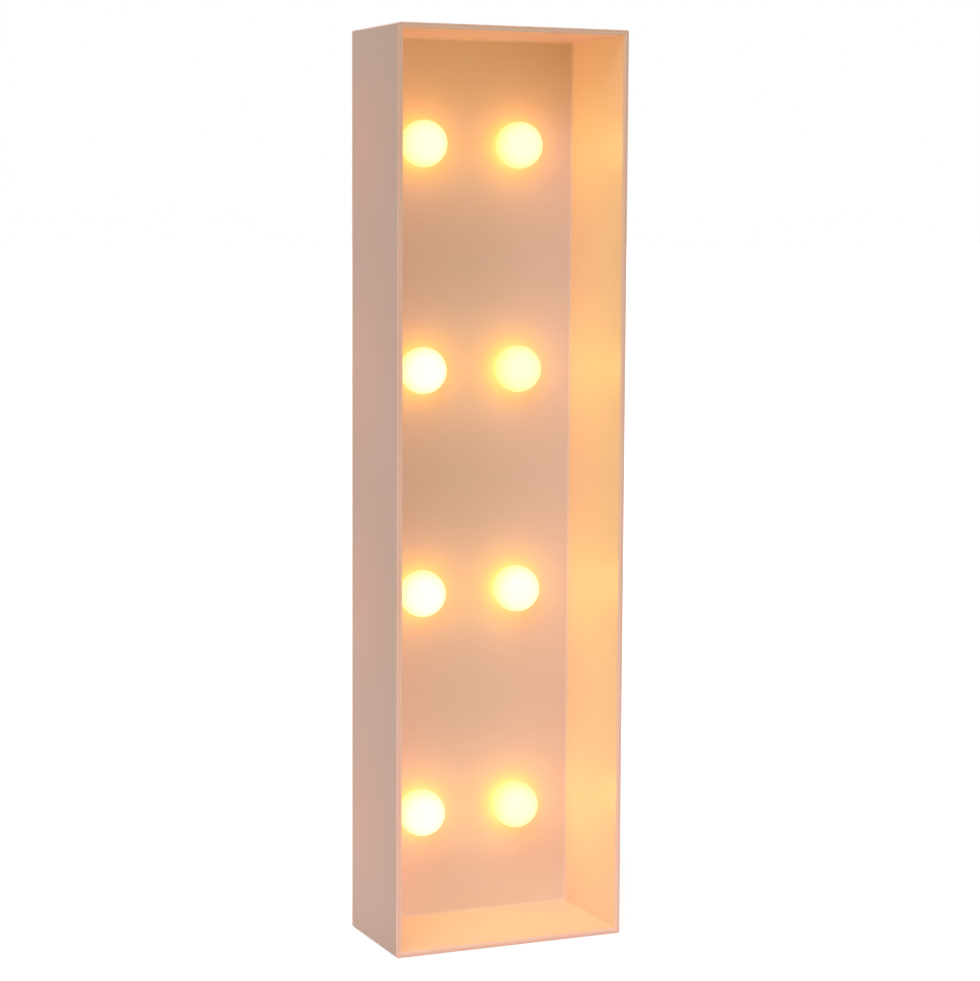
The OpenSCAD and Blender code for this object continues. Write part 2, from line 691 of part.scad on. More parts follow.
module rear_housing() {
    color("whitesmoke") difference() {
        union() {
            difference() {
                housing_outside();
                slab(back_d - CUT, inner_rear_d) housing_inside(0);
            }
            housing_inner_walls();
        }
        door_way();
        slab(bay_floor_d, rear_d + CUT) panel(bay_w, bay_bottom, bay_top);
        for (s = SIDES) slab(tab_front_d - fit_gap, tab_front_d + plate_t + fit_gap)
            translate([s * cell_x, 0]) panel(tab_w + 2 * fit_gap, bay_top - CUT, bay_top + bay_wall + CUT);
        slab(dish_floor_d, rear_d + CUT)
            round_panel(dish_w, switch_z - dish_h / 2, switch_z + dish_h / 2, dish_r);
        slab(dish_floor_d - dish_wall - CUT, dish_floor_d + CUT)
            panel(slot_w, switch_z - slot_h / 2, switch_z + slot_h / 2);
        slab(rear_d - mark_d, rear_d + CUT) switch_marks();
        slab(inner_rear_d - pocket_d, inner_rear_d) keyhole_pocket(pocket_gap);
        slab(inner_rear_d - CUT, rear_d + CUT) keyhole_shape(0);
        for (s = SIDES, z = cover_screw_heights) {
            facing_back(s * cover_screw_x, screw_seat_d, z)
                cylinder(d = cover_screw_head_d + 2 * fit_gap, h = rear_d - screw_seat_d + CUT);
            facing_back(s * cover_screw_x, boss_end_d - CUT, z)
                cylinder(d = cover_screw_d + 2 * fit_gap, h = screw_seat_t + 2 * CUT);
        }
        for (s = SIDES) facing_back(s * switch_screw_pitch / 2, switch_frame_back_d - CUT, switch_z)
            cylinder(d = switch_screw_d + 2 * touch_gap, h = inner_rear_d - switch_frame_back_d + CUT);
    }
}

// The door slides off to the right: its tongues run under the housing's lips
module battery_door() {
    low = door_low + run_gap;
    high = door_high - run_gap;
    left = door_left + run_gap;
    grip_x = (door_left + housing_w / 2) / 2 - grip_pitch * (grip_grooves - 1) / 2;
    grip_z = (door_low + door_high) / 2;
    arrow_x = grip_x + grip_pitch * (grip_grooves - 1) + arrow_gap;
    color("whitesmoke") difference() {
        intersection() {
            union() {
                slab(door_front_d, rear_d) translate([left, low]) square([housing_w / 2 - left, high - low]);
                slab(door_front_d, door_front_d + tongue_t) translate([left, low - tongue_w])
                    square([housing_w / 2 - left, high - low + 2 * tongue_w]);
            }
            housing_outside();
        }
        for (i = [0 : grip_grooves - 1]) slab(rear_d - grip_groove_d, rear_d + CUT)
            translate([grip_x + i * grip_pitch, 0])
                round_slot(grip_groove_w, grip_z - grip_len / 2, grip_z + grip_len / 2);
        slab(rear_d - mark_d, rear_d + CUT) translate([arrow_x, grip_z])
            polygon([[0, -arrow_h / 2], [arrow_len, 0], [0, arrow_h / 2]]);
    }
}

module cover_screws() {
    color("silver") for (s = SIDES, z = cover_screw_heights) facing_back(s * cover_screw_x, screw_seat_d, z)
        pan_screw(cover_screw_d, cover_screw_len, cover_screw_head_d, cover_screw_head_t);
}

// A cell that stands on its flat end, with its nub up
module cell() {
    r = cell_d / 2;
    body_len = cell_len - nub_len;
    rim = nub_len / 2;
    rotate_extrude() polygon([[0, 0], [r - rim, 0], [r, rim], [r, body_len - rim], [r - rim, body_len],
        [nub_d / 2, body_len], [nub_d / 2, cell_len - rim / 2], [nub_d / 2 - rim / 2, cell_len],
        [0, cell_len]]);
}

module cell_left() {
    color("steelblue") translate([-cell_x, y_of(cell_axis_d), bay_bottom + plate_t + spring_len]) cell();
}

module cell_right() {
    color("steelblue") translate([cell_x, y_of(cell_axis_d), bay_top - plate_t - spring_len])
        rotate([180, 0, 0]) cell();
}

// A contact plate at the bay's upper end, with a tab that passes up through the bay's wall
module upper_contact(x) {
    translate([x, 0, 0]) {
        translate([-plate_w / 2, y_of(tab_front_d), bay_top - plate_t]) cube([plate_w, plate_w, plate_t]);
        translate([-tab_w / 2, y_of(tab_front_d), bay_top - plate_t])
            cube([tab_w, plate_t, tab_tip_z - bay_top + plate_t]);
    }
}

module contact_positive() {
    color("silver") {
        upper_contact(-cell_x);
        translate([-cell_x, y_of(cell_axis_d), bay_top - plate_t - button_h])
            cylinder(d1 = button_d - button_h, d2 = button_d, h = button_h);
    }
}

module contact_negative() {
    color("silver") upper_contact(cell_x);
}

module contact_link() {
    link_w = 2 * cell_x + plate_w;
    color("silver") {
        translate([-link_w / 2, y_of(tab_front_d), bay_bottom]) cube([link_w, plate_w, plate_t]);
        translate([cell_x, y_of(cell_axis_d), bay_bottom + plate_t])
            cylinder(d1 = button_d, d2 = button_d - button_h, h = button_h);
    }
}

// The middle line of a conical spring that stands on Z = 0
function spring_path() = let (
    steps = spring_turns * SPRING_RINGS,
    end_gap = spring_wire_d / 2 + touch_gap,
    rise = spring_len - 2 * end_gap)
    [for (i = [0 : steps])
        let (f = i / steps, a = 360 * spring_turns * f,
             r = (spring_wide_d + f * (spring_narrow_d - spring_wide_d) - spring_wire_d) / 2)
        [r * cos(a), r * sin(a), end_gap + f * rise]];

// The least gap between turns of a spring, from points more than half a turn apart
function least_gap(p) = min([for (i = [0 : len(p) - 1], j = [i + 1 : len(p) - 1])
    if (j - i > SPRING_RINGS / 2) norm(p[i] - p[j])]) - spring_wire_d;

module contact_spring() {
    path = spring_path();
    echo(spring_least_gap = least_gap(path));
    tube(path, spring_wire_d, SPRING_SIDES);
}

module spring_left() {
    color("silver") translate([-cell_x, y_of(cell_axis_d), bay_bottom + plate_t]) contact_spring();
}

module spring_right() {
    color("silver") translate([cell_x, y_of(cell_axis_d), bay_top - plate_t])
        rotate([180, 0, 0]) contact_spring();
}

module switch_body() {
    inner_w = switch_body_w - 2 * switch_body_wall;
    inner_h = switch_body_h - 2 * switch_body_wall;
    color("saddlebrown") difference() {
        slab(switch_body_front_d, switch_front_d)
            panel(switch_body_w, switch_z - switch_body_h / 2, switch_z + switch_body_h / 2);
        slab(switch_body_front_d + 2 * switch_body_wall, switch_front_d + CUT)
            panel(inner_w, switch_z - inner_h / 2, switch_z + inner_h / 2);
    }
}

// A metal frame with two screw ears, and two flanges that hold the body
module switch_frame() {
    half_h = switch_body_h / 2 + touch_gap + switch_frame_t;
    frame_w = switch_screw_pitch + 2 * switch_ear;
    color("silver") {
        slab(switch_front_d, switch_frame_back_d) difference() {
            round_panel(frame_w, switch_z - half_h, switch_z + half_h, switch_ear / 2);
            panel(slot_w, switch_z - slot_h / 2, switch_z + slot_h / 2);
            for (s = SIDES) translate([s * switch_screw_pitch / 2, switch_z])
                circle(d = switch_screw_d + 2 * fit_gap);
        }
        for (low = [switch_z - half_h, switch_z + half_h - switch_frame_t])
            slab(switch_front_d - switch_body_d / 2, switch_front_d)
                panel(switch_body_w, low, low + switch_frame_t);
    }
}

// Three solder terminals with eyes
module switch_terminals() {
    color("silver") for (i = [-1 : 1]) translate([i * terminal_pitch, 0, 0]) difference() {
        slab(switch_body_front_d - terminal_len, switch_body_front_d)
            panel(terminal_w, switch_z - terminal_t / 2, switch_z + terminal_t / 2);
        translate([0, y_of(switch_body_front_d - terminal_len + terminal_eye_d), switch_z])
            cylinder(d = terminal_eye_d, h = terminal_t + CUT, center = true);
    }
}

// The slider at its left stop, which is on: a base inside the body, and a ribbed knob
module switch_slider() {
    base_w = switch_body_w - 2 * switch_body_wall - switch_travel - 2 * run_gap;
    base_h = switch_body_h - 2 * switch_body_wall - 2 * run_gap;
    base_back_d = switch_front_d - run_gap;
    tip_d = rear_d - knob_sunk;
    groove = knob_w / (2 * KNOB_GROOVES + 1);
    color("dimgray") translate([-switch_travel / 2, 0, 0]) {
        slab(base_back_d - slider_base_t, base_back_d)
            panel(base_w, switch_z - base_h / 2, switch_z + base_h / 2);
        difference() {
            slab(base_back_d - slider_base_t / 2, tip_d)
                panel(knob_w, switch_z - knob_h / 2, switch_z + knob_h / 2);
            for (i = [1 : KNOB_GROOVES]) slab(tip_d - groove, tip_d + CUT)
                translate([(2 * i - KNOB_GROOVES - 1) * groove, 0])
                    panel(groove, switch_z - knob_h, switch_z + knob_h);
        }
    }
}

module switch_screws() {
    shank = inner_rear_d - switch_front_d - fit_gap;
    color("silver") for (s = SIDES) facing_front(s * switch_screw_pitch / 2, switch_front_d, switch_z)
        pan_screw(switch_screw_d, shank, switch_screw_head_d, switch_screw_head_t);
}

module wire(tint, route) {
    color(tint) tube(curve([for (p = route) [p.x, y_of(p.y), p.z]]), wire_d, TUBE_SIDES);
}

// Three points in line, so that a wire's end is straight and square: from a start, along a direction
function straight(start, along) = [start, start + along, start + 2 * along];
function reversed(p) = [for (i = [len(p) - 1 : -1 : 0]) p[i]];
// The straight end of a wire that stands on the back of a board
function board_wire_end(x, z) = straight([x, board_back_d + touch_gap, z], [0, wire_stub, 0]);
// The straight end of a wire that leaves a battery tab upwards
function tab_wire_end(x) =
    straight([x, tab_front_d + plate_t / 2, tab_tip_z + touch_gap], [0, 0, tab_wire_run]);
// The straight end of a wire that leaves a switch terminal, up or down
function terminal_wire_end(x, up) =
    straight([x, switch_body_front_d - terminal_len / 2, switch_z + up * (terminal_t / 2 + touch_gap)],
        [0, 0, up * terminal_wire_run]);

// From the positive contact's tab up to the switch's left terminal, in two bows
module wire_positive() {
    low = tab_wire_end(-cell_x);
    high = terminal_wire_end(-terminal_pitch, -1);
    run = high[2] - low[2];
    wire("red", concat(
        low,
        [for (s = SIDES) low[2] + run * (2 + s) / 4 + wire_slack * [s, 1, 0]],
        reversed(high)));
}

// From the switch's middle terminal to the left board
module wire_switched() {
    wire("red", concat(
        terminal_wire_end(0, 1),
        [[-bulb_x / 2, wire_lane_d, (switch_z + wire_pad_high_z) / 2]],
        [[wire_turn - bulb_x, wire_lane_d, wire_pad_high_z - wire_turn]],
        reversed(board_wire_end(-bulb_x, wire_pad_high_z))));
}

// From the negative contact's tab to the right board
module wire_negative() {
    wire("black", concat(
        tab_wire_end(cell_x),
        [[bulb_x - wire_turn, wire_lane_d, wire_pad_low_z - 2 * wire_turn]],
        reversed(board_wire_end(bulb_x, wire_pad_low_z))));
}

// A short lead across from board to board
module wire_link(tint, z) {
    wire(tint, concat(
        board_wire_end(-bulb_x, z),
        [for (s = SIDES) [s * (bulb_x - wire_turn), wire_lane_d, z]],
        reversed(board_wire_end(bulb_x, z))));
}

front_tray();
rear_housing();
battery_door();
cover_screws();
for (side = [0, 1], i = [0 : bulb_rows - 1]) {
    number = side * bulb_rows + i;
    bulb(SIDES[side] * bulb_x, rows[i]);
    led(SIDES[side] * bulb_x, rows[i]);
}
for (side = [0, 1]) light_board(SIDES[side]);
board_screws();
resistor();
cell_left();
cell_right();
contact_positive();
contact_negative();
contact_link();
spring_left();
spring_right();
switch_body();
switch_frame();
switch_terminals();
switch_slider();
switch_screws();
wire_positive();
wire_switched();
wire_negative();
wire_link("red", wire_link_high_z);  // wire_link_positive
wire_link("black", wire_link_low_z);  // wire_link_negative
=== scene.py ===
# %% [markdown]
# # A light-up letter, dressed for its picture
#
# The real thing is a shallow plastic tray shaped like a capital I. Eight frosted globes snap into its
# floor, small lights shine inside them, and a battery housing with a sliding door is screwed on behind.
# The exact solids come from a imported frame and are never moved. This script gives them their finishes
# and adds smoother or finer pieces where a picture needs them. Lengths are in metres, X runs to the
# right, Y to the back and Z up, and the letter stands on Z = 0.

# %% Load the frame
import math

import bmesh
import bpy
import numpy as np
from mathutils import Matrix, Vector


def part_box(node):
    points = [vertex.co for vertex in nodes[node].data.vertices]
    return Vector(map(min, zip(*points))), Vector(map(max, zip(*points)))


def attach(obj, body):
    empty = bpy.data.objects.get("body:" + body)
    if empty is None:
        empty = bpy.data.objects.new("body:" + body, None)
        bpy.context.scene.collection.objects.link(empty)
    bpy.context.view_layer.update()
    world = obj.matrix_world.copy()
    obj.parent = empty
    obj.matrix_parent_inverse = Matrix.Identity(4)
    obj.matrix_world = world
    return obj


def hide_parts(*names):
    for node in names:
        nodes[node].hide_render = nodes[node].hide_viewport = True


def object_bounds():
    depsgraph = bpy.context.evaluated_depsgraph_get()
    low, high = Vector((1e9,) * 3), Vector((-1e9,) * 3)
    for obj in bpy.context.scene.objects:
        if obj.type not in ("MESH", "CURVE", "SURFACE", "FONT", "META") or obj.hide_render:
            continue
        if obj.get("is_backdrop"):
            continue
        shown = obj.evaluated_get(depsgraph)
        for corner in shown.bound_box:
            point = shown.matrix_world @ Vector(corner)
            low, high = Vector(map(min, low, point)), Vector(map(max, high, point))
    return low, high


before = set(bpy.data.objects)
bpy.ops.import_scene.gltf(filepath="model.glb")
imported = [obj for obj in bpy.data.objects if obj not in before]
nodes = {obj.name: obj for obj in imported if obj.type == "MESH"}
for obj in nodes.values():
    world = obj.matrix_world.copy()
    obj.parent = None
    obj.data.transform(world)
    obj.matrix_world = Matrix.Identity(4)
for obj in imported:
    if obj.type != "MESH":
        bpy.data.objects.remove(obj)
cad_low, cad_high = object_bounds()
MM = 0.001
print("nodes", len(nodes), "size in mm", [round(x / MM, 1) for x in cad_high - cad_low])

# %% [markdown]
# ## The camera
#
# The picture was taken from a little left of the letter and a little above its middle, with a long
# lens. A camera could be aimed with a tracking constraint, but three angles and a place are easier to
# read, and they stay put. The angles were solved from the straight edges of the tray: a turn about Z, a
# tilt and a slight roll.

# %% Place the camera
CAMERA_PLACE = (-0.2482, -0.5835, 0.1750)
CAMERA_ANGLES = (84.01, -0.31, -23.40)
CAMERA_LENS = 94.8

camera_data = bpy.data.cameras.new("camera")
camera_data.lens = CAMERA_LENS
camera = bpy.data.objects.new("camera", camera_data)
camera.location = CAMERA_PLACE
camera.rotation_euler = [math.radians(a) for a in CAMERA_ANGLES]
bpy.context.scene.collection.objects.link(camera)
bpy.context.scene.camera = camera
bpy.context.scene.view_settings.view_transform = "Standard"
print("camera at", CAMERA_PLACE, "lens", CAMERA_LENS, "mm")

# %% [markdown]
# ## Helpers for meshes
#
# Every new piece here is a grid of points: one parameter runs along a path or a profile, the other runs
# round it. numpy works out all points at once, and the faces follow from the grid's row and column
# numbers. A ring that shrinks to a point makes a pole, and merging its doubles closes it. A wire or a
# spring is such a grid too: rings round a path.

# %% Build a mesh from a grid of points
MERGE_DISTANCE = 1e-7
SHARP_ANGLE = math.radians(35.0)
TUBE_SIDES = 20


def grid_piece(name, points, closed=True):
    """A surface from points[i, j]: quads join row i to row i + 1, and column j to column j + 1.

    A closed grid also joins its last column to its first.
    """
    rows, columns = points.shape[:2]
    across = columns if closed else columns - 1
    i, j = np.meshgrid(np.arange(rows - 1), np.arange(across), indexing="ij")
    after = (j + 1) % columns
    corners = [i * columns + j, i * columns + after, (i + 1) * columns + after, (i + 1) * columns + j]
    quads = np.stack(corners, axis=-1).reshape(-1, 4)
    mesh = bpy.data.meshes.new(name)
    mesh.from_pydata(points.reshape(-1, 3).tolist(), [], quads.tolist())
    shape = bmesh.new()
    shape.from_mesh(mesh)
    bmesh.ops.remove_doubles(shape, verts=shape.verts, dist=MERGE_DISTANCE)
    bmesh.ops.recalc_face_normals(shape, faces=shape.faces)
    shape.to_mesh(mesh)
    shape.free()
    mesh.shade_smooth()
    mesh.set_sharp_from_angle(angle=SHARP_ANGLE)
    piece = bpy.data.objects.new(name, mesh)
    bpy.context.scene.collection.objects.link(piece)
    return piece


def tube_grid(path, radius, reference):
    """Circles round a path, spanned by two directions square to the path and to each other.

    The first is the reference direction less its part along the path. A ring of doubled points at each end
    closes the tube.
    """
    along = np.gradient(path, axis=0)
    along /= np.linalg.norm(along, axis=1, keepdims=True)
    aside = reference - (along @ reference)[:, None] * along
    aside /= np.linalg.norm(aside, axis=1, keepdims=True)
    across = np.cross(along, aside)
    angle = np.linspace(0.0, 2 * math.pi, TUBE_SIDES, endpoint=False)[None, :, None]
    rings = path[:, None] + radius * (np.cos(angle) * aside[:, None] + np.sin(angle) * across[:, None])
    ends = np.repeat(path[[0, -1], None], TUBE_SIDES, axis=1)
    return np.concatenate([ends[:1], rings, ends[1:]])


# %% [markdown]
# ## Helpers for finishes
#
# A finish is a small web of shader nodes. Short functions keep it readable: some add a node and feed
# its inputs, the others do arithmetic with numbers and colours. A value that is itself the output of a
# node is linked, and any other value is typed into the socket. The node that blends colours has sockets
# for numbers and vectors too, under the same labels, so its colour sockets are found by their places.

# %% Nodes and arithmetic
FIRST_COLOUR, SECOND_COLOUR, BLENDED = 6, 7, 2


def feed(tree, socket, value):
    """Links a node's output to the socket, or types a plain value into it."""
    if isinstance(value, bpy.types.NodeSocket):
        tree.links.new(value, socket)
    else:
        socket.default_value = value


def set_inputs(tree, node, **values):
    """Feeds several inputs of a node by name, with underscores for spaces."""
    for label, value in values.items():
        feed(tree, node.inputs[label.replace("_", " ")], value)


def add_node(tree, kind, settings=None, inputs=None):
    """Adds a node of the given kind, sets its options and feeds its inputs by name or by place."""
    node = tree.nodes.new(kind)
    for key, value in (settings or {}).items():
        setattr(node, key, value)
    for key, value in (inputs or {}).items():
        feed(tree, node.inputs[key], value)
    return node


def calc(tree, operation, *values):
    """One step of arithmetic on numbers."""
    node = add_node(tree, "ShaderNodeMath", {"operation": operation})
    for socket, value in zip(node.inputs, values):
        feed(tree, socket, value)
    return node.outputs["Value"]


def product(tree, first, *others):
    """All the given numbers multiplied together."""
    for value in others:
        first = calc(tree, "MULTIPLY", first, value)
    return first


def rest(tree, share):
    """What is left of 1 beside a share."""
    return calc(tree, "SUBTRACT", 1.0, share)


def distance(tree, value, middle):
    """How far a number lies from a middle, on either side of it."""
    return calc(tree, "ABSOLUTE", calc(tree, "SUBTRACT", value, middle))


def between(tree, value, low, high):
    """1 where a number lies above low and below high, else 0."""
    return product(tree, calc(tree, "GREATER_THAN", value, low), calc(tree, "LESS_THAN", value, high))


def ramp(tree, value, low, high):
    """A smooth step: 0 at low and before it, 1 at high and past it."""
    settings = {"interpolation_type": "SMOOTHSTEP"}
    inputs = {"Value": value, "From Min": low, "From Max": high}
    return add_node(tree, "ShaderNodeMapRange", settings, inputs).outputs["Result"]


def blend(tree, share, first, second):
    """The first number where share is 0 and the second where it is 1."""
    return calc(tree, "MULTIPLY_ADD", share, calc(tree, "SUBTRACT", second, first), first)


def blend_colours(tree, share, first, second, how="MIX"):
    """The first colour where share is 0 and the second where it is 1, or another way of blending them."""
    node = add_node(tree, "ShaderNodeMix", {"data_type": "RGBA", "blend_type": how})
    feed(tree, node.inputs["Factor"], share)
    feed(tree, node.inputs[FIRST_COLOUR], first)
    feed(tree, node.inputs[SECOND_COLOUR], second)
    return node.outputs[BLENDED]


def scale_colour(tree, colour, level):
    """A colour made lighter or darker by a factor."""
    node = add_node(tree, "ShaderNodeVectorMath", {"operation": "SCALE"}, {0: colour, "Scale": level})
    return node.outputs["Vector"]


# %% [markdown]
# ## Helpers for materials and groups
#
# Patterns are tied to the letter's own frame, so that they stay on a piece when it moves. An effect
# that several materials share is a group: a web with named sockets of its own. It could be built again
# in each material, but then each change would have to be made many times over.

# %% Patterns, materials and groups
NOISE_MEAN = 0.5


def object_place(tree):
    """Where the shaded point lies in the letter's own frame, and its three coordinates."""
    place = add_node(tree, "ShaderNodeTexCoord").outputs["Object"]
    split = add_node(tree, "ShaderNodeSeparateXYZ", inputs={"Vector": place})
    return place, split.outputs["X"], split.outputs["Y"], split.outputs["Z"]


def noise(tree, place, grain, detail=2.0):
    """Cloudy values about their mean, with lumps of about the given size."""
    inputs = {"Vector": place, "Scale": 1 / grain, "Detail": detail}
    return add_node(tree, "ShaderNodeTexNoise", inputs=inputs).outputs["Fac"]


def bump(tree, height, strength, depth):
    """The surface's normal, tilted by a relief of the given strength and depth."""
    inputs = {"Height": height, "Strength": strength, "Distance": depth}
    return add_node(tree, "ShaderNodeBump", inputs=inputs).outputs["Normal"]


def new_finish(name):
    """A material with its node tree and its main shader."""
    material = bpy.data.materials.new(name)
    material.use_nodes = True
    tree = material.node_tree
    return material, tree, tree.nodes["Principled BSDF"]


def new_group(name, inputs, outputs):
    """An empty shader group with its two ends: inputs and outputs give each socket's name and type."""
    group = bpy.data.node_groups.new(name, "ShaderNodeTree")
    for way, sockets in (("INPUT", inputs), ("OUTPUT", outputs)):
        for label, kind in sockets.items():
            group.interface.new_socket(label, in_out=way, socket_type="NodeSocket" + kind)
    return group, group.nodes.new("NodeGroupInput"), group.nodes.new("NodeGroupOutput")


def use_group(tree, group, **values):
    """Places a group in a material, with its own values."""
    node = add_node(tree, "ShaderNodeGroup", {"node_tree": group})
    set_inputs(tree, node, **values)
    return node.outputs


def dress(finish, names):
    """Gives a finish to CAD nodes, on their first material slot."""
    for name in names:
        nodes[name].data.materials.clear()
        nodes[name].data.materials.append(finish)


# %% [markdown]
# ## The floor
#
# The picture's background is plain white. A white sheet under the letter would look grey in a plain
# light, so for the camera alone the sheet glows a little. It comes out white, and it still darkens by
# the letter's foot.

# %% Floor
WHITE = (1, 1, 1, 1)
FLOOR_SPAN = 30.0
FLOOR_DROP = 0.1 * MM
FLOOR_TONE = (0.72, 0.72, 0.72, 1)
FLOOR_GLOW = 0.44
PAPER_ROUGHNESS = 0.9


def seen_directly(tree):
    """1 for rays from the camera, or by way of a mirror or glass."""
    path = add_node(tree, "ShaderNodeLightPath").outputs
    mirrored = calc(tree, "MAXIMUM", path["Is Glossy Ray"], path["Is Transmission Ray"])
    return calc(tree, "MAXIMUM", path["Is Camera Ray"], mirrored)


side = np.array([-FLOOR_SPAN, FLOOR_SPAN]) / 2
x, y = np.meshgrid(side, side, indexing="ij")
floor = grid_piece("floor", np.stack([x, y, np.full_like(x, -FLOOR_DROP)], axis=-1), closed=False)
floor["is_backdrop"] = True
paper, tree, shader = new_finish("paper")
set_inputs(tree, shader, Base_Color=FLOOR_TONE, Roughness=PAPER_ROUGHNESS, Emission_Color=WHITE,
           Emission_Strength=product(tree, seen_directly(tree), FLOOR_GLOW))
floor.data.materials.append(paper)
print("floor", FLOOR_SPAN, "m wide")

# %% [markdown]
# ## Sky and lights
#
# Soft light comes from a pale sky and from two broad lights so far off that they light evenly: one from
# the upper left in front, and a wider one from behind for the housing. Each has a way that it comes
# from, a strength and a width in degrees. What the camera sees of the sky itself is white.

# %% Sky and lights
SKY_TONE = (1.0, 0.985, 0.97, 1)
SKY_LIGHT = 0.22
SUNS = {"key_light": ((-0.56, -0.66, 1.0), 2.2, 50.0), "back_light": ((0.35, 1.0, 0.8), 1.6, 80.0)}

world = bpy.data.worlds.new("sky")
bpy.context.scene.world = world
world.use_nodes = True
tree = world.node_tree
sky = tree.nodes["Background"]
set_inputs(tree, sky, Color=SKY_TONE, Strength=SKY_LIGHT)
white = add_node(tree, "ShaderNodeBackground", inputs={"Color": WHITE, "Strength": 1.0})
either = add_node(tree, "ShaderNodeMixShader", inputs={
    0: seen_directly(tree), 1: sky.outputs["Background"], 2: white.outputs["Background"]})
set_inputs(tree, tree.nodes["World Output"], Surface=either.outputs["Shader"])

for name, (way, strength, width) in SUNS.items():
    lamp_data = bpy.data.lights.new(name, "SUN")
    lamp_data.angle = math.radians(width)
    lamp_data.energy = strength
    lamp = bpy.data.objects.new(name, lamp_data)
    lamp.location = way
    lamp.rotation_euler = (-Vector(way)).to_track_quat("-Z", "Y").to_euler()
    bpy.context.scene.collection.objects.link(lamp)
    print(name, "strength", strength, "width", width)

# %% [markdown]
# ## Where the bulbs sit
#
# The glow on the tray and the globes themselves both need the bulbs' centres. The frame knows them: a
# bulb's box is as wide as its globe, so its middle gives X and Z, and its front plus one radius gives
# Y.

# %% Measure the bulbs
SIDES = ("left", "right")
BULB_ROWS = 4

bulb_names = [f"bulb_{s}_{i}" for s in SIDES for i in range(1, BULB_ROWS + 1)]
boxes = np.array([[list(corner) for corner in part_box(name)] for name in bulb_names])
bulb_r = float(boxes[0, 1, 2] - boxes[0, 0, 2]) / 2
bulb_centres = boxes.mean(axis=1)
bulb_centres[:, 1] = boxes[:, 0, 1] + bulb_r
print("bulb radius in mm", round(bulb_r / MM, 2), "rows at", np.round(bulb_centres[:BULB_ROWS, 2] / MM, 1))

# %% [markdown]
# ## The light of the bulbs
#
# The letter is switched on. Each bulb gets a small round lamp that fills its globe, warm like an old
# filament. A glowing globe could light the tray by itself, but then its brightness to the eye and its
# light on the tray would be one number, and a camera shows bulbs far dimmer than they are.

# %% Lamps in the bulbs
LAMP_TINT = (1.0, 0.75, 0.06)
LAMP_WATTS = 0.0036
LAMP_FILL = 0.9

bulb_lamps = []
for name, centre in zip(bulb_names, bulb_centres):
    lamp_data = bpy.data.lights.new("lamp_" + name, "POINT")
    lamp_data.energy = LAMP_WATTS
    lamp_data.color = LAMP_TINT
    lamp_data.shadow_soft_size = LAMP_FILL * bulb_r
    lamp = bpy.data.objects.new("lamp_" + name, lamp_data)
    lamp.location = centre
    bpy.context.scene.collection.objects.link(lamp)
    bulb_lamps.append(lamp)
print("lamps in the bulbs", len(bulb_lamps))

# %% [markdown]
# ## Painted glow in the plastic
#
# The tray is thin and milky, so light that enters it near a bulb spreads and comes out again on both
# sides. The tray's finish paints that glow, and the bulbs' light on its inner faces, as light it gives
# off. The group adds up eight shares, radius over distance to each bulb, in two ways: as they are for
# the wide wash inside, and squared for what stays near a bulb or reaches the outer skin.

# %% Group: painted bulb glow
POWERS = {"Wide": 1.0, "Spread": 2.0}

painted_glow_group, _, glow_out = new_group("bulb_glow", {}, dict.fromkeys(POWERS, "Float"))
place = object_place(painted_glow_group)[0]
sums = dict.fromkeys(POWERS, 0.0)
for centre in bulb_centres:
    away = add_node(painted_glow_group, "ShaderNodeVectorMath", {"operation": "DISTANCE"}, {0: place, 1: centre})
    share = calc(painted_glow_group, "DIVIDE", bulb_r, away.outputs["Value"])
    for label, power in POWERS.items():
        sums[label] = calc(painted_glow_group, "ADD", sums[label], calc(painted_glow_group, "POWER", share, power))
set_inputs(painted_glow_group, glow_out, **sums)
print("bulb glow group", len(painted_glow_group.nodes), "nodes")

# %% [markdown]
# ## Moulded plastic
#
# Injection-moulded parts share three traits: a fine etched grain that breaks up the shine, slow clouds
# of tone where the melt cooled unevenly, and pale scuffs from handling. One group makes them, and each
# plastic places it with its own colour and amounts.

# %% Group: moulded plastic
CLOUD_SIZE = 26 * MM
CLOUD_SPAN = (0.3, 0.7)
CLOUD_AMOUNT = 0.07
SCUFF_SIZE = 7 * MM
SCUFF_SPAN = (0.58, 0.72)
SCUFF_DETAIL = 8.0
GRAIN_SIZE = 0.35 * MM
GRAIN_DETAIL = 1.0
GRAIN_STRENGTH = 0.3

moulded_group, group_in, group_out = new_group(
    "moulded_plastic",
    {"Tone": "Color", "Cloud Amount": "Float", "Scuff Amount": "Float", "Sheen Low": "Float",
     "Sheen High": "Float"},
    {"Color": "Color", "Roughness": "Float", "Height": "Float"})
given = group_in.outputs
place = object_place(moulded_group)[0]
cloud = noise(moulded_group, place, CLOUD_SIZE)
rubbed = ramp(moulded_group, noise(moulded_group, place, SCUFF_SIZE, SCUFF_DETAIL), *SCUFF_SPAN)
scuff = product(moulded_group, rubbed, given["Scuff Amount"])
swing = product(moulded_group, calc(moulded_group, "SUBTRACT", cloud, NOISE_MEAN), given["Cloud Amount"])
level = calc(moulded_group, "ADD", calc(moulded_group, "ADD", swing, scuff), 1.0)
cloud_low, cloud_high = CLOUD_SPAN
sheen = add_node(moulded_group, "ShaderNodeMapRange", inputs={
    "Value": cloud, "From Min": cloud_low, "From Max": cloud_high,
    "To Min": given["Sheen Low"], "To Max": given["Sheen High"]})
set_inputs(moulded_group, group_out, Color=scale_colour(moulded_group, given["Tone"], level),
           Roughness=calc(moulded_group, "ADD", sheen.outputs["Result"], scuff),
           Height=noise(moulded_group, place, GRAIN_SIZE, GRAIN_DETAIL))


def moulded(tree, tone, sheen, cloud=CLOUD_AMOUNT, scuff=0.0):
    """Places the group: a tone, a lowest and a highest roughness, and amounts of clouds and scuffs."""
    return use_group(tree, moulded_group, Tone=tone, Cloud_Amount=cloud, Scuff_Amount=scuff,
                     Sheen_Low=sheen[0], Sheen_High=sheen[1])


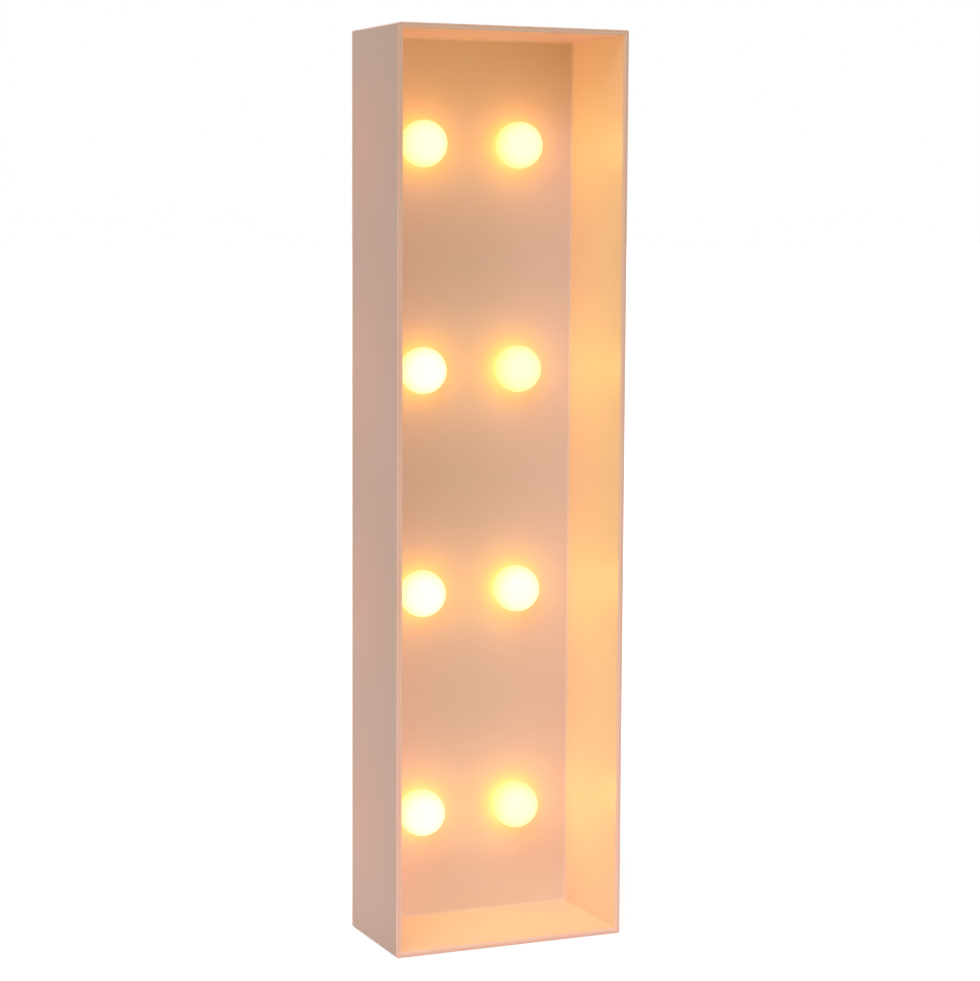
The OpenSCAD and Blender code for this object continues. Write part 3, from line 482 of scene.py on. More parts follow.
def mould(tree, shader, tone, sheen, grain_depth, scuff=0.0):
    """Makes a shader moulded plastic with a grain of the given depth, and returns the colour."""
    body = moulded(tree, tone, sheen, scuff=scuff)
    set_inputs(tree, shader, Base_Color=body["Color"], Roughness=body["Roughness"],
               Normal=bump(tree, body["Height"], GRAIN_STRENGTH, grain_depth))
    return body["Color"]


def moulded_finish(name, tone, sheen, grain_depth):
    """A material of moulded plastic alone."""
    finish, tree, shader = new_finish(name)
    mould(tree, shader, tone, sheen, grain_depth)
    return finish


print("moulded plastic group", len(moulded_group.nodes), "nodes")

# %% [markdown]
# ## The tray's faces
#
# The tray is satin blush plastic, a little over a millimetre thick. Its finish has to know which face
# it paints. The faces could have materials of their own, but the light on them also changes with height
# and depth, so the finish works it all out from a point's place. Inner faces lie nearer to the middle
# than half the wall's thickness, the rim lies at the very front, and the floor at the back of the open
# space.

# %% Finish: tray plastic, its faces
TRAY_WALL = 1.25 * MM
HEAD_WALL = 1.05 * TRAY_WALL
FLOOR_DEPTH = 29.0 * MM
FLOOR_BLEND = 0.6 * MM
RIM_DEPTH = 0.6 * MM

floor_y = cad_low.y + FLOOR_DEPTH
tray_finish, tree, shader = new_finish("tray_plastic")
_, across, depth, up = object_place(tree)
height = calc(tree, "DIVIDE", up, cad_high.z)
within_sides = calc(tree, "LESS_THAN", calc(tree, "ABSOLUTE", across), cad_high.x - TRAY_WALL / 2)
within_ends = calc(tree, "LESS_THAN", distance(tree, up, cad_high.z / 2), (cad_high.z - TRAY_WALL) / 2)
before_floor = calc(tree, "LESS_THAN", depth, floor_y + TRAY_WALL / 2)
within = product(tree, within_sides, within_ends, before_floor)
outside = rest(tree, within)
rim = calc(tree, "LESS_THAN", depth, cad_low.y + RIM_DEPTH)
inside = product(tree, within, rest(tree, rim))
on_floor = product(tree, ramp(tree, depth, floor_y - FLOOR_BLEND, floor_y), inside)
on_walls = calc(tree, "SUBTRACT", inside, on_floor)
below_head = calc(tree, "LESS_THAN", up, cad_high.z - HEAD_WALL)
print("tray floor at Y", round(floor_y / MM, 1), "mm")

# %% [markdown]
# ## The tray's colour, with painted light and shade
#
# The blush is a little deeper towards the top and paler at the foot, as painted shade and painted light.
# Close to a bulb the colour turns amber, as painted shade of the globe and a painted warm pool of its
# light, and at the head of the floor it turns amber as painted shade under the top wall.

# %% Finish: tray plastic, its colour with painted light and shade
LOW_PAINTED_LIGHT_TONE = (0.460, 0.310, 0.224, 1)
HIGH_PAINTED_SHADE_TONE = (0.406, 0.282, 0.199, 1)
PAINTED_SHADE_SPAN = (0.0, 0.5)
PAINTED_AMBER_LIGHT_AND_SHADE = (1.0, 0.98, 0.52, 1)
BULB_POOL_SPAN = (0.2, 0.7)
HEAD_SHADE_SPAN = (0.88, 0.94)
TRAY_SHEEN = (0.32, 0.40)
TRAY_GRAIN = 0.03 * MM

glow = use_group(tree, painted_glow_group)
wide, spread = glow["Wide"], glow["Spread"]
# Painted shade and light: the colour is darker towards the top and paler towards the foot.
tone = blend_colours(tree, ramp(tree, height, *PAINTED_SHADE_SPAN), LOW_PAINTED_LIGHT_TONE, HIGH_PAINTED_SHADE_TONE)
# Painted amber near the bulbs: shade of the globes and the warm pool of their light.
painted_bulb_pool = product(tree, ramp(tree, spread, *BULB_POOL_SPAN), inside)
# Painted amber shade at the head of the floor, under the top wall.
painted_head_shade = product(tree, ramp(tree, height, *HEAD_SHADE_SPAN), on_floor)
tone = blend_colours(tree, calc(tree, "MAXIMUM", painted_bulb_pool, painted_head_shade), tone, PAINTED_AMBER_LIGHT_AND_SHADE, "MULTIPLY")
mould(tree, shader, tone, TRAY_SHEEN, TRAY_GRAIN)
print("tray tones", LOW_PAINTED_LIGHT_TONE[:3], "to", HIGH_PAINTED_SHADE_TONE[:3])

# %% [markdown]
# ## Painted light in the tray's plastic
#
# The tray's finish gives off painted light, which stands in for the bulbs' light on the tray and for light
# spreading in its thin plastic. A warm wash fills the inside, stronger on the walls than on the floor,
# which the bulbs only graze. Close to a bulb the floor glows. Painted light gathers on the walls beside
# the bulbs, more so towards the rim, and at the head, the foot and both sides of the floor. A little
# seeps through to the outer skin as faint reddish spots, and some leaves at the rim's cut edge. Light
# could be traced through the plastic, but in walls as thin as these that is slow and grainy. So each way
# is a tint times a share, and the finish gives off their sum.

# %% Finish: tray plastic, its painted light
BLACK = (0, 0, 0, 1)
LOW_WALL_TINT = (0.51, 0.196, 0.088, 1)
HIGH_WALL_TINT = (0.54, 0.203, 0.114, 1)
FLOOR_TINT = (0.092, 0.089, 0.080, 1)
NEAR_TINT = (0.90, 0.26, 0.0, 1)
BESIDE_TINT = (0.15, 0.42, 0.0, 1)
RIM_GAIN = 2.0
SKIN_TINT = (0.90, 0.10, 0.0, 1)
SKIN_LIMIT = 0.16
FOOT_TINT = (0.11, 0.069, 0.060, 1)
FOOT_SPAN = (0.55, 0.0)
CORNER_TINT = (0.10, 0.09, 0.05, 1)
CORNER_SPAN = (0.075, 0.0)
HEAD_TINT = (0.11, 0.030, 0.0, 1)
HEAD_SPAN = (0.72, 1.0)
LEFT_TINT = (0.14, 0.035, 0.03, 1)
LEFT_BASE = 0.5
RIGHT_TINT = (0.10, 0.075, 0.085, 1)
RIGHT_FOOT_LOSS = 0.8
RIGHT_END_SPAN = (0.86, 1.0)
LOW_RIM_TINT = (0.32, 0.16, 0.13, 1)
HIGH_RIM_TINT = (0.13, 0.07, 0.04, 1)
INNER_RIM_TINT = (0.10, 0.06, 0.04, 1)

forward = calc(tree, "DIVIDE", calc(tree, "SUBTRACT", floor_y, depth), FLOOR_DEPTH)
more_at_rim = calc(tree, "MULTIPLY_ADD", forward, RIM_GAIN, 1.0)
near_head = product(tree, ramp(tree, height, *HEAD_SPAN), below_head)
near_foot = ramp(tree, height, *FOOT_SPAN)
more_at_foot = calc(tree, "ADD", near_foot, LEFT_BASE)
less_at_foot = calc(tree, "MULTIPLY_ADD", near_foot, -RIGHT_FOOT_LOSS, 1.0)
left_side = product(tree, ramp(tree, across, 0.0, -cad_high.x), more_at_foot)
right_end = rest(tree, ramp(tree, height, *RIGHT_END_SPAN))
right_side = product(tree, ramp(tree, across, 0.0, cad_high.x), less_at_foot, right_end)
# Every share below is painted light that the finish gives off.
painted_light_shares = [
    (blend_colours(tree, height, LOW_WALL_TINT, HIGH_WALL_TINT), product(tree, wide, on_walls)),
    (FLOOR_TINT, product(tree, wide, on_floor)),
    (NEAR_TINT, product(tree, spread, on_floor)),
    (BESIDE_TINT, product(tree, spread, more_at_rim, below_head, on_walls)),
    (SKIN_TINT, product(tree, calc(tree, "MINIMUM", spread, SKIN_LIMIT), outside)),
    (FOOT_TINT, product(tree, near_foot, inside)),
    (CORNER_TINT, product(tree, ramp(tree, height, *CORNER_SPAN), on_floor)),
    (HEAD_TINT, product(tree, near_head, inside)),
    (LEFT_TINT, product(tree, left_side, on_floor)),
    (RIGHT_TINT, product(tree, right_side, on_floor)),
    (INNER_RIM_TINT, product(tree, rim, within)),
    (blend_colours(tree, height, LOW_RIM_TINT, HIGH_RIM_TINT), rim),
]
light = BLACK
for tint, share in painted_light_shares:
    light = blend_colours(tree, 1.0, light, blend_colours(tree, 1.0, tint, share, "MULTIPLY"), "ADD")
set_inputs(tree, shader, Emission_Color=light, Emission_Strength=1.0)
dress(tray_finish, ["front_tray"])
print("tray finish with", len(painted_light_shares), "kinds of glow")

# %% [markdown]
# ## The bulbs
#
# A bulb is a hollow frosted globe with a flat seat, and a neck that snaps behind the tray's floor. It
# is turned on a lathe in all but name: one profile carried round an axis. The profile starts at the
# front pole, runs round the globe to its seat, down the neck, back up inside and ends at the inner
# pole. The globes shade the tray from outside light, but the lamps inside them must shine out, so each
# lamp is told to look past the globes.

# %% Shape: frosted globes
GLOBE_WALL = 0.8 * MM
NECK_R = 3.9 * MM
NECK_WALL = 0.8 * MM
NECK_TIP_R = NECK_R - NECK_WALL / 4
SNAP_R = 4.3 * MM
SNAP_START = 1.6 * MM
SNAP_LAND = 0.3 * MM
SNAP_END = 2.5 * MM
ARC_STEPS = 48
TURN_STEPS = 96


def globe_profile(centre_y):
    """(radius, Y) along the section: an arc of the globe, its seat, the neck, its snap rim, the inside."""
    rise = floor_y - centre_y
    inner_r = bulb_r - GLOBE_WALL
    outer = np.linspace(0.0, math.acos(-rise / bulb_r), ARC_STEPS)
    inner = np.linspace(math.acos(-(rise - GLOBE_WALL) / inner_r), 0.0, ARC_STEPS)
    globe = np.stack([bulb_r * np.sin(outer), centre_y - bulb_r * np.cos(outer)], axis=-1)
    neck = np.array([
        [NECK_R, floor_y], [NECK_R, floor_y + SNAP_START], [SNAP_R, floor_y + SNAP_START],
        [SNAP_R, floor_y + SNAP_START + SNAP_LAND], [NECK_TIP_R, floor_y + SNAP_END],
        [NECK_R - NECK_WALL, floor_y + SNAP_END], [NECK_R - NECK_WALL, floor_y - GLOBE_WALL]])
    hollow = np.stack([inner_r * np.sin(inner), centre_y - inner_r * np.cos(inner)], axis=-1)
    return np.concatenate([globe, neck, hollow])


def turned(profile, middle_x, middle_z):
    """Points of a profile of (radius, Y) carried round an axis along Y: x and z follow the circle."""
    angle = np.linspace(0.0, 2 * math.pi, TURN_STEPS, endpoint=False)
    radius, along = profile[:, :1], profile[:, 1:]
    x = middle_x + radius * np.cos(angle)
    z = middle_z + radius * np.sin(angle)
    return np.stack([x, np.broadcast_to(along, x.shape), z], axis=-1)


def stand_in(piece, name):
    """Lets a piece ride on the letter in the place of a CAD node, which is hidden."""
    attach(piece, "letter")
    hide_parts(name)


globes = []
for name, centre in zip(bulb_names, bulb_centres):
    globe = grid_piece("frosted_" + name, turned(globe_profile(centre[1]), centre[0], centre[2]))
    stand_in(globe, name)
    globes.append(globe)
see_through = bpy.data.collections.new("globes_for_their_lamps")
for globe in globes:
    see_through.objects.link(globe)
for entry in see_through.collection_objects:
    entry.light_linking.link_state = "EXCLUDE"
for lamp in bulb_lamps:
    lamp.light_linking.blocker_collection = see_through
print("globes", len(globes), "faces each", len(globes[0].data.polygons))

# %% [markdown]
# ## Frosted light
#
# The light inside a globe points out of the tray, so the front of the globe is white-hot, and its sides
# and foot, which see less of it, turn yellow. One material serves all globes, so each globe's mesh
# carries two values for it at every point: how squarely the point faces the hot way, and the globe's
# own warmth, because lights of one batch are never quite the same white. Fine mottling stands for the
# frosting.

# %% Finish: frosted bulb
HOT_TONE = (1.10, 1.00, 0.90, 1)
WARM_TONE = (1.00, 0.72, 0.42, 1)
WARM_SPAN = (0.0, 0.45)
YELLOWER = (1.0, 0.97, 0.45, 1)
GLOBE_TONE = (0.80, 0.60, 0.12, 1)
HOT_WAY = np.array([-0.15, -0.98, 0.0])
BULB_WARMTH = (0.05, 0.05, 0.05, 0.44, 0.56, 0.21, 0.66, 0.52)
MOTTLE_SIZE = 0.5 * MM
MOTTLE_AMOUNT = 0.12
FROST = 0.55


def mark_globe(globe, centre, warmth):
    """Writes two values on each point of a globe.

    One is the globe's warmth, the other the cosine between the point's way out and the hot way.
    """
    count = len(globe.data.vertices)
    points = np.empty(count * 3)
    globe.data.vertices.foreach_get("co", points)
    out = points.reshape(-1, 3) - centre
    facing = out @ HOT_WAY / (np.linalg.norm(out, axis=1) * np.linalg.norm(HOT_WAY))
    for label, values in (("warmth", np.full(count, warmth)), ("facing", facing)):
        globe.data.attributes.new(label, "FLOAT", "POINT").data.foreach_set("value", values)


bulb_finish, tree, shader = new_finish("bulb_frosted")
place = object_place(tree)[0]
facing = add_node(tree, "ShaderNodeAttribute", {"attribute_name": "facing"}).outputs["Fac"]
warmth = add_node(tree, "ShaderNodeAttribute", {"attribute_name": "warmth"}).outputs["Fac"]
uneven = calc(tree, "SUBTRACT", noise(tree, place, MOTTLE_SIZE), NOISE_MEAN)
mottle = product(tree, uneven, MOTTLE_AMOUNT)
behind = calc(tree, "DIVIDE", rest(tree, facing), 2.0)
turned_away = ramp(tree, calc(tree, "ADD", behind, mottle), *WARM_SPAN)
light = blend_colours(tree, turned_away, HOT_TONE, WARM_TONE)
light = blend_colours(tree, warmth, light, YELLOWER, "MULTIPLY")
set_inputs(tree, shader, Base_Color=GLOBE_TONE, Roughness=calc(tree, "ADD", mottle, FROST),
           Emission_Color=light, Emission_Strength=1.0)
for globe, centre, own_warmth in zip(globes, bulb_centres, BULB_WARMTH):
    mark_globe(globe, centre, own_warmth)
    globe.data.materials.append(bulb_finish)
print("bulb finish on", len(globes), "globes, warmth", BULB_WARMTH)

# %% [markdown]
# ## Housing and door
#
# The rear housing and its door are opaque mouldings in about the tray's colour, with a coarser grain
# that hides fingerprints and a few scuffs. The door comes from another mould, so its tone is a touch
# off. The shallow marks and grooves of their back face get painted shade, which makes them easier to
# read. The shade could be painted on by hand, but a rule on depth finds every groove.

# %% Finish: housing and door
HOUSING_TONE = (0.56, 0.405, 0.322, 1)
HOUSING_SCUFF = 0.03
DOOR_TONE = (0.535, 0.386, 0.304, 1)
DOOR_SCUFF = 0.04
HOUSING_SHEEN = (0.46, 0.6)
HOUSING_GRAIN = 0.06 * MM
RECESS_SHADE_TONE = (0.60, 0.56, 0.53, 1)
RECESS_SHADE_SPAN = (0.2 * MM, 0.6 * MM)
RECESS_SHADE_HALF_W = 17 * MM
RECESS_SHADE_HALF_H = 90 * MM


def recess_shaded_finish(name, tone, scuff):
    """A moulded plastic with painted shade where it lies a little under the back face and clear of the
    outer edges.
    """
    finish, tree, shader = new_finish(name)
    colour = mould(tree, shader, tone, HOUSING_SHEEN, HOUSING_GRAIN, scuff)
    _, across, depth, up = object_place(tree)
    # Painted shade: darker in the shallow marks and grooves just under the back face.
    sunken = between(tree, calc(tree, "SUBTRACT", cad_high.y, depth), *RECESS_SHADE_SPAN)
    off_sides = calc(tree, "LESS_THAN", calc(tree, "ABSOLUTE", across), RECESS_SHADE_HALF_W)
    off_ends = calc(tree, "LESS_THAN", distance(tree, up, cad_high.z / 2), RECESS_SHADE_HALF_H)
    recess_shade = product(tree, sunken, off_sides, off_ends)
    set_inputs(tree, shader, Base_Color=blend_colours(tree, recess_shade, colour, RECESS_SHADE_TONE, "MULTIPLY"))
    return finish


dress(recess_shaded_finish("housing_plastic", HOUSING_TONE, HOUSING_SCUFF), ["rear_housing"])
dress(recess_shaded_finish("door_plastic", DOOR_TONE, DOOR_SCUFF), ["battery_door"])
print("dust from", [round(d / MM, 1) for d in RECESS_SHADE_SPAN], "mm under the back face")

# %% [markdown]
# ## The switch
#
# The switch's body is brown phenolic resin, and its knob is black nylon, which thumbs have rubbed
# greyer at its tip. The tip is found by its place, so that the knob keeps one material.

# %% Finish: switch body and knob
PHENOLIC_TONE = (0.12, 0.045, 0.018, 1)
PHENOLIC_SHEEN = (0.3, 0.45)
KNOB_TONE = (0.018, 0.018, 0.02, 1)
KNOB_SHEEN = (0.35, 0.5)
SWITCH_GRAIN = 0.03 * MM
RUBBED_TONE = (0.06, 0.06, 0.062, 1)
RUBBED_DEPTH = 1.2 * MM

dress(moulded_finish("switch_phenolic", PHENOLIC_TONE, PHENOLIC_SHEEN, SWITCH_GRAIN), ["switch_body"])
knob_finish, tree, shader = new_finish("switch_knob")
colour = mould(tree, shader, KNOB_TONE, KNOB_SHEEN, SWITCH_GRAIN)
_, _, depth, _ = object_place(tree)
knob_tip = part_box("switch_slider")[1].y
rubbed = ramp(tree, depth, knob_tip - RUBBED_DEPTH, knob_tip)
set_inputs(tree, shader, Base_Color=blend_colours(tree, rubbed, colour, RUBBED_TONE))
dress(knob_finish, ["switch_slider"])
print("knob tip at Y", round(knob_tip / MM, 1), "mm")

# %% [markdown]
# ## Plated metal
#
# Screws are zinc-plated steel, and contacts, springs and the switch's frame are nickel-plated sheet and
# wire. Rolling leaves fine streaks along the sheet, and plating clouds with age. One group makes
# streaks by stretching a noise, and clouds from a slow one.

# %% Group and finishes: plated metal
STREAK_SIZE = 0.2 * MM
STREAK_DETAIL = 3.0
STREAK_ROUGHNESS = 0.25
STREAK_STRENGTH = 0.15
STREAK_DEPTH = 0.01 * MM
TARNISH_SIZE = 2.5 * MM
TARNISH_DETAIL = 4.0
TARNISH_ROUGHNESS = 0.15
TARNISH_SWING = 0.4
TARNISH_BASE = 0.8
NICKEL_TONE = (0.66, 0.63, 0.57, 1)
NICKEL_STRETCH = (0.12, 1.0, 1.0)
NICKEL_DULLNESS = 0.14
ZINC_TONE = (0.55, 0.56, 0.58, 1)
ZINC_STRETCH = (1.0, 0.4, 1.0)
ZINC_DULLNESS = 0.2

metal_group, group_in, group_out = new_group(
    "plated_metal", {"Tone": "Color", "Stretch": "Vector", "Dullness": "Float"},
    {"Color": "Color", "Roughness": "Float", "Height": "Float"})
given = group_in.outputs
place = object_place(metal_group)[0]
drawn_out = add_node(metal_group, "ShaderNodeVectorMath", {"operation": "MULTIPLY"},
                     {0: place, 1: given["Stretch"]}).outputs["Vector"]
streaks = noise(metal_group, drawn_out, STREAK_SIZE, STREAK_DETAIL)
tarnish = noise(metal_group, place, TARNISH_SIZE, TARNISH_DETAIL)
level = calc(metal_group, "MULTIPLY_ADD", tarnish, TARNISH_SWING, TARNISH_BASE)
uneven = calc(metal_group, "MULTIPLY_ADD", tarnish, TARNISH_ROUGHNESS, given["Dullness"])
set_inputs(metal_group, group_out, Color=scale_colour(metal_group, given["Tone"], level), Height=streaks,
           Roughness=calc(metal_group, "MULTIPLY_ADD", streaks, STREAK_ROUGHNESS, uneven))


def metal_finish(name, tone, stretch, dullness):
    """A plated metal with a tone, a stretch of its streaks along X, Y and Z, and a base roughness."""
    finish, tree, shader = new_finish(name)
    plate = use_group(tree, metal_group, Tone=tone, Stretch=stretch, Dullness=dullness)
    set_inputs(tree, shader, Base_Color=plate["Color"], Roughness=plate["Roughness"], Metallic=1.0,
               Normal=bump(tree, plate["Height"], STREAK_STRENGTH, STREAK_DEPTH))
    return finish


nickel = metal_finish("contact_nickel", NICKEL_TONE, NICKEL_STRETCH, NICKEL_DULLNESS)
zinc = metal_finish("screw_steel", ZINC_TONE, ZINC_STRETCH, ZINC_DULLNESS)
dress(nickel, ["contact_positive", "contact_negative", "contact_link", "switch_frame", "switch_terminals"])
dress(zinc, ["cover_screws", "board_screws", "switch_screws"])
print("plated metal group", len(metal_group.nodes), "nodes")

# %% [markdown]
# ## Contact springs
#
# A battery spring is wire coiled into a cone, wide on its plate and narrow under the cell. The CAD
# solid has flat facets, so a finer coil takes its place: an angle runs round while the radius shrinks
# and the height grows. The plate is at the spring's end that lies away from the cell.

# %% Shape: conical springs
SPRING_TURNS = 3.5
SPRING_WIDE_D = 7.6 * MM
SPRING_NARROW_D = 4.0 * MM
SPRING_WIRE_D = 0.7 * MM
STEPS_PER_TURN = 40
ALONG_Z = np.array([0.0, 0.0, 1.0])


def spring_path(axis_x, axis_y, start_z, end_z):
    """The wire's middle line, from the plate at start_z to the cell at end_z: a helix on a cone."""
    share = np.linspace(0.0, 1.0, int(SPRING_TURNS * STEPS_PER_TURN) + 1)
    way = math.copysign(1.0, end_z - start_z)
    angle = 2 * math.pi * SPRING_TURNS * share * way
    radius = (SPRING_WIDE_D + share * (SPRING_NARROW_D - SPRING_WIDE_D) - SPRING_WIRE_D) / 2
    first, last = start_z + way * SPRING_WIRE_D / 2, end_z - way * SPRING_WIRE_D / 2
    x = axis_x + radius * np.cos(angle)
    y = axis_y + radius * np.sin(angle)
    return np.stack([x, y, first + share * (last - first)], axis=-1)


for side_name in SIDES:
    low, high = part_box("cell_" + side_name)
    bottom, top = [corner.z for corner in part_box("spring_" + side_name)]
    plate_z, cell_z = (bottom, top) if bottom < low.z else (top, bottom)
    path = spring_path((low.x + high.x) / 2, (low.y + high.y) / 2, plate_z, cell_z)
    coil = grid_piece("coil_" + side_name, tube_grid(path, SPRING_WIRE_D / 2, ALONG_Z))
    stand_in(coil, "spring_" + side_name)
    coil.data.materials.append(nickel)
    print("coil", side_name, "plate at Z", round(plate_z / MM, 1), "mm,", len(coil.data.polygons), "faces")

# %% [markdown]
# ## Wires
#
# Soft stranded leads join the cells, the switch and the light boards. Each takes the place of its
# faceted solid and follows the same route: a smooth curve through a few points, given here in
# millimetres across, behind the rim and up. At a tab, a terminal or a board's pad a lead starts
# straight.

# %% Shape and finish: wires
WIRE_R = 0.6 * MM
CURVE_STEPS = 14
ALONG_X = np.array([1.0, 0.0, 0.0])
TAB_X, TAB_D, TAB_Z, TAB_STEP = 5.6, 38.05, 63.05, 4.0
TERMINAL_X, TERMINAL_D, TERMINAL_STEP = 4.0, 38.8, 3.0
PAD_X, PAD_STEPS = 12.65, (34.25, 34.95, 35.65)
TURN_X, LANE_D = 9.65, 37.0
RED_TONE = (0.42, 0.012, 0.010, 1)
BLACK_TONE = (0.014, 0.014, 0.015, 1)
WIRE_SHEEN = (0.28, 0.42)
WIRE_GRAIN = 0.02 * MM


def upright_end(x, depth, z, step):
    """The straight end of a wire on a tab or a terminal: three points in a row upwards."""
    return [(x, depth, z), (x, depth, z + step), (x, depth, z + 2 * step)]


def pad_end(x, z):
    """The straight end of a wire on a board, from the pad backwards."""
    return [(x, depth, z) for depth in PAD_STEPS]


def link_route(z):
    """A lead straight across from one board to the other."""
    return pad_end(-PAD_X, z) + [(-TURN_X, LANE_D, z), (TURN_X, LANE_D, z)] + pad_end(PAD_X, z)[::-1]


ROUTES = {
    "wire_positive": (
        upright_end(-TAB_X, TAB_D, TAB_Z, TAB_STEP)
        + [(-10.2, 43.24, 82.81), (0.6, 43.61, 106.34)]
        + upright_end(-TERMINAL_X, TERMINAL_D, 118.1, TERMINAL_STEP)),
    "wire_switched": (
        upright_end(0.0, TERMINAL_D, 124.7, TERMINAL_STEP)
        + [(-PAD_X / 2, LANE_D, 138.18), (-TURN_X, LANE_D, 148.95)]
        + pad_end(-PAD_X, 151.95)[::-1]),
    "wire_negative": (
        upright_end(TAB_X, TAB_D, TAB_Z, TAB_STEP)
        + [(TURN_X, LANE_D, 90.95)]
        + pad_end(PAD_X, 96.95)[::-1]),
    "wire_link_positive": link_route(158.0),
    "wire_link_negative": link_route(103.0),
}


def smooth_path(points):
    """A curve through all points: each stretch is a cubic whose slopes follow the points on both sides."""
    stretches = len(points) - 1
    p = np.concatenate([points[:1], points, points[-1:]])
    a, b, c, e = [p[k:k + stretches, None] for k in range(4)]
    t = np.linspace(0.0, 1.0, CURVE_STEPS, endpoint=False)[None, :, None]
    bend = (2 * a - 5 * b + 4 * c - e) * t ** 2 + (3 * b - a - 3 * c + e) * t ** 3
    return np.concatenate([(b + ((c - a) * t + bend) / 2).reshape(-1, 3), points[-1:]])


wire_finishes = {
    "wire_red": moulded_finish("wire_red", RED_TONE, WIRE_SHEEN, WIRE_GRAIN),
    "wire_black": moulded_finish("wire_black", BLACK_TONE, WIRE_SHEEN, WIRE_GRAIN),
}
for name, route in ROUTES.items():
    path = smooth_path(np.array(route) * MM + np.array([0.0, cad_low.y, 0.0]))
    square_to = ALONG_Z if "link" in name else ALONG_X
    lead = grid_piece("lead_" + name, tube_grid(path, WIRE_R, square_to))
    slot = "wire_black" if "negative" in name else "wire_red"
    stand_in(lead, name)
    lead.data.materials.append(wire_finishes[slot])
    print(name, round(np.linalg.norm(np.diff(path, axis=0), axis=1).sum() / MM, 1), "mm long")

# %% [markdown]
# ## Cells
#
# A plain cell is a steel can in a printed sleeve. The sleeve leaves the two ends bare, and a paler band
# marks the end with the nub. The two cells point opposite ways, so the finish measures from each cell's
# flat end: upwards left of the middle and downwards right of it.

# %% Finish: cell sleeves
SLEEVE_TONE = (0.035, 0.075, 0.105, 1)
SLEEVE_SHEEN = (0.24, 0.36)
SLEEVE_CLOUDS = 0.1
SLEEVE_SCUFF = 0.1
SLEEVE_METAL = 0.3
BAND_TONE = (0.50, 0.47, 0.40, 1)
BAND_START = 31.0 * MM
LINE_SPAN = (29.4 * MM, 29.9 * MM)
CAN_TONE = (0.62, 0.61, 0.59, 1)
CAN_STRETCH = (1.0, 1.0, 0.2)
CAN_DULLNESS = 0.15
BARE_END = 0.8 * MM
NUB_END = 1.3 * MM

cell_finish, tree, shader = new_finish("cell_sleeve")
_, across, _, up = object_place(tree)
left_low, left_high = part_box("cell_left")
right_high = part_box("cell_right")[1]
upwards = calc(tree, "SUBTRACT", up, left_low.z)
downwards = calc(tree, "SUBTRACT", right_high.z, up)
along = blend(tree, calc(tree, "GREATER_THAN", across, 0.0), upwards, downwards)
in_band = calc(tree, "GREATER_THAN", along, BAND_START)
pale = calc(tree, "MAXIMUM", between(tree, along, *LINE_SPAN), in_band)
sleeve_end = left_high.z - left_low.z - NUB_END
bare_foot = calc(tree, "LESS_THAN", along, BARE_END)
bare = calc(tree, "MAXIMUM", bare_foot, calc(tree, "GREATER_THAN", along, sleeve_end))
printed = blend_colours(tree, pale, SLEEVE_TONE, BAND_TONE)
sleeve = moulded(tree, printed, SLEEVE_SHEEN, SLEEVE_CLOUDS, SLEEVE_SCUFF)
can = use_group(tree, metal_group, Tone=CAN_TONE, Stretch=CAN_STRETCH, Dullness=CAN_DULLNESS)
set_inputs(tree, shader, Base_Color=blend_colours(tree, bare, sleeve["Color"], can["Color"]),
           Roughness=blend(tree, bare, sleeve["Roughness"], can["Roughness"]),
           Metallic=blend(tree, bare, SLEEVE_METAL, 1.0))
dress(cell_finish, ["cell_left", "cell_right"])
print("cell sleeves, pale from", round(BAND_START / MM, 1), "mm up")

# %% [markdown]
# ## Light boards
#
# The boards are glass fibre under green solder mask, with copper traces that show as paler, slightly
# raised lines along their length. They sit behind the tray's floor, but a viewer may take the housing
# off. The traces could be thin solids, but they are lower than a hair is wide, so a stripe in the
# finish will do.

# %% Finish: light boards
MASK_TONE = (0.012, 0.085, 0.035, 1)
MASK_SHEEN = (0.2, 0.3)
MASK_CLOUDS = 0.15
TRACE_TONE = (0.035, 0.17, 0.06, 1)
TRACE_AT = 2.4 * MM
TRACE_W = 0.5 * MM
TRACE_STRENGTH = 0.4
TRACE_DEPTH = 0.04 * MM

board_finish, tree, shader = new_finish("board_green")
_, across, _, _ = object_place(tree)
board_x = float(bulb_centres[-1, 0])
off_board = distance(tree, calc(tree, "ABSOLUTE", across), board_x)
trace = calc(tree, "LESS_THAN", distance(tree, off_board, TRACE_AT), TRACE_W / 2)
mask = moulded(tree, blend_colours(tree, trace, MASK_TONE, TRACE_TONE), MASK_SHEEN, MASK_CLOUDS)
set_inputs(tree, shader, Base_Color=mask["Color"], Roughness=mask["Roughness"],
           Normal=bump(tree, trace, TRACE_STRENGTH, TRACE_DEPTH))
dress(board_finish, ["light_board_left", "light_board_right"])
print("boards at X", round(board_x / MM, 2), "mm on both sides")

# %% [markdown]
# ## The small lights
#
# Each light has a clear warm lens in front of its board and tinned leads behind it. Both belong to one
# solid, so the finish tells them apart by depth: what lies behind the board's face is lead.

# %% Finish: lights
LENS_TONE = (0.85, 0.62, 0.22, 1)
LENS_LIGHT = (1.0, 0.72, 0.30, 1)
LENS_SHEEN = (0.12, 0.2)
LENS_CLOUDS = 0.1
TIN_TONE = (0.60, 0.60, 0.60, 1)
TIN_DULLNESS = 0.2
LIGHT_LEAD_STRETCH = (1.0, 0.2, 1.0)

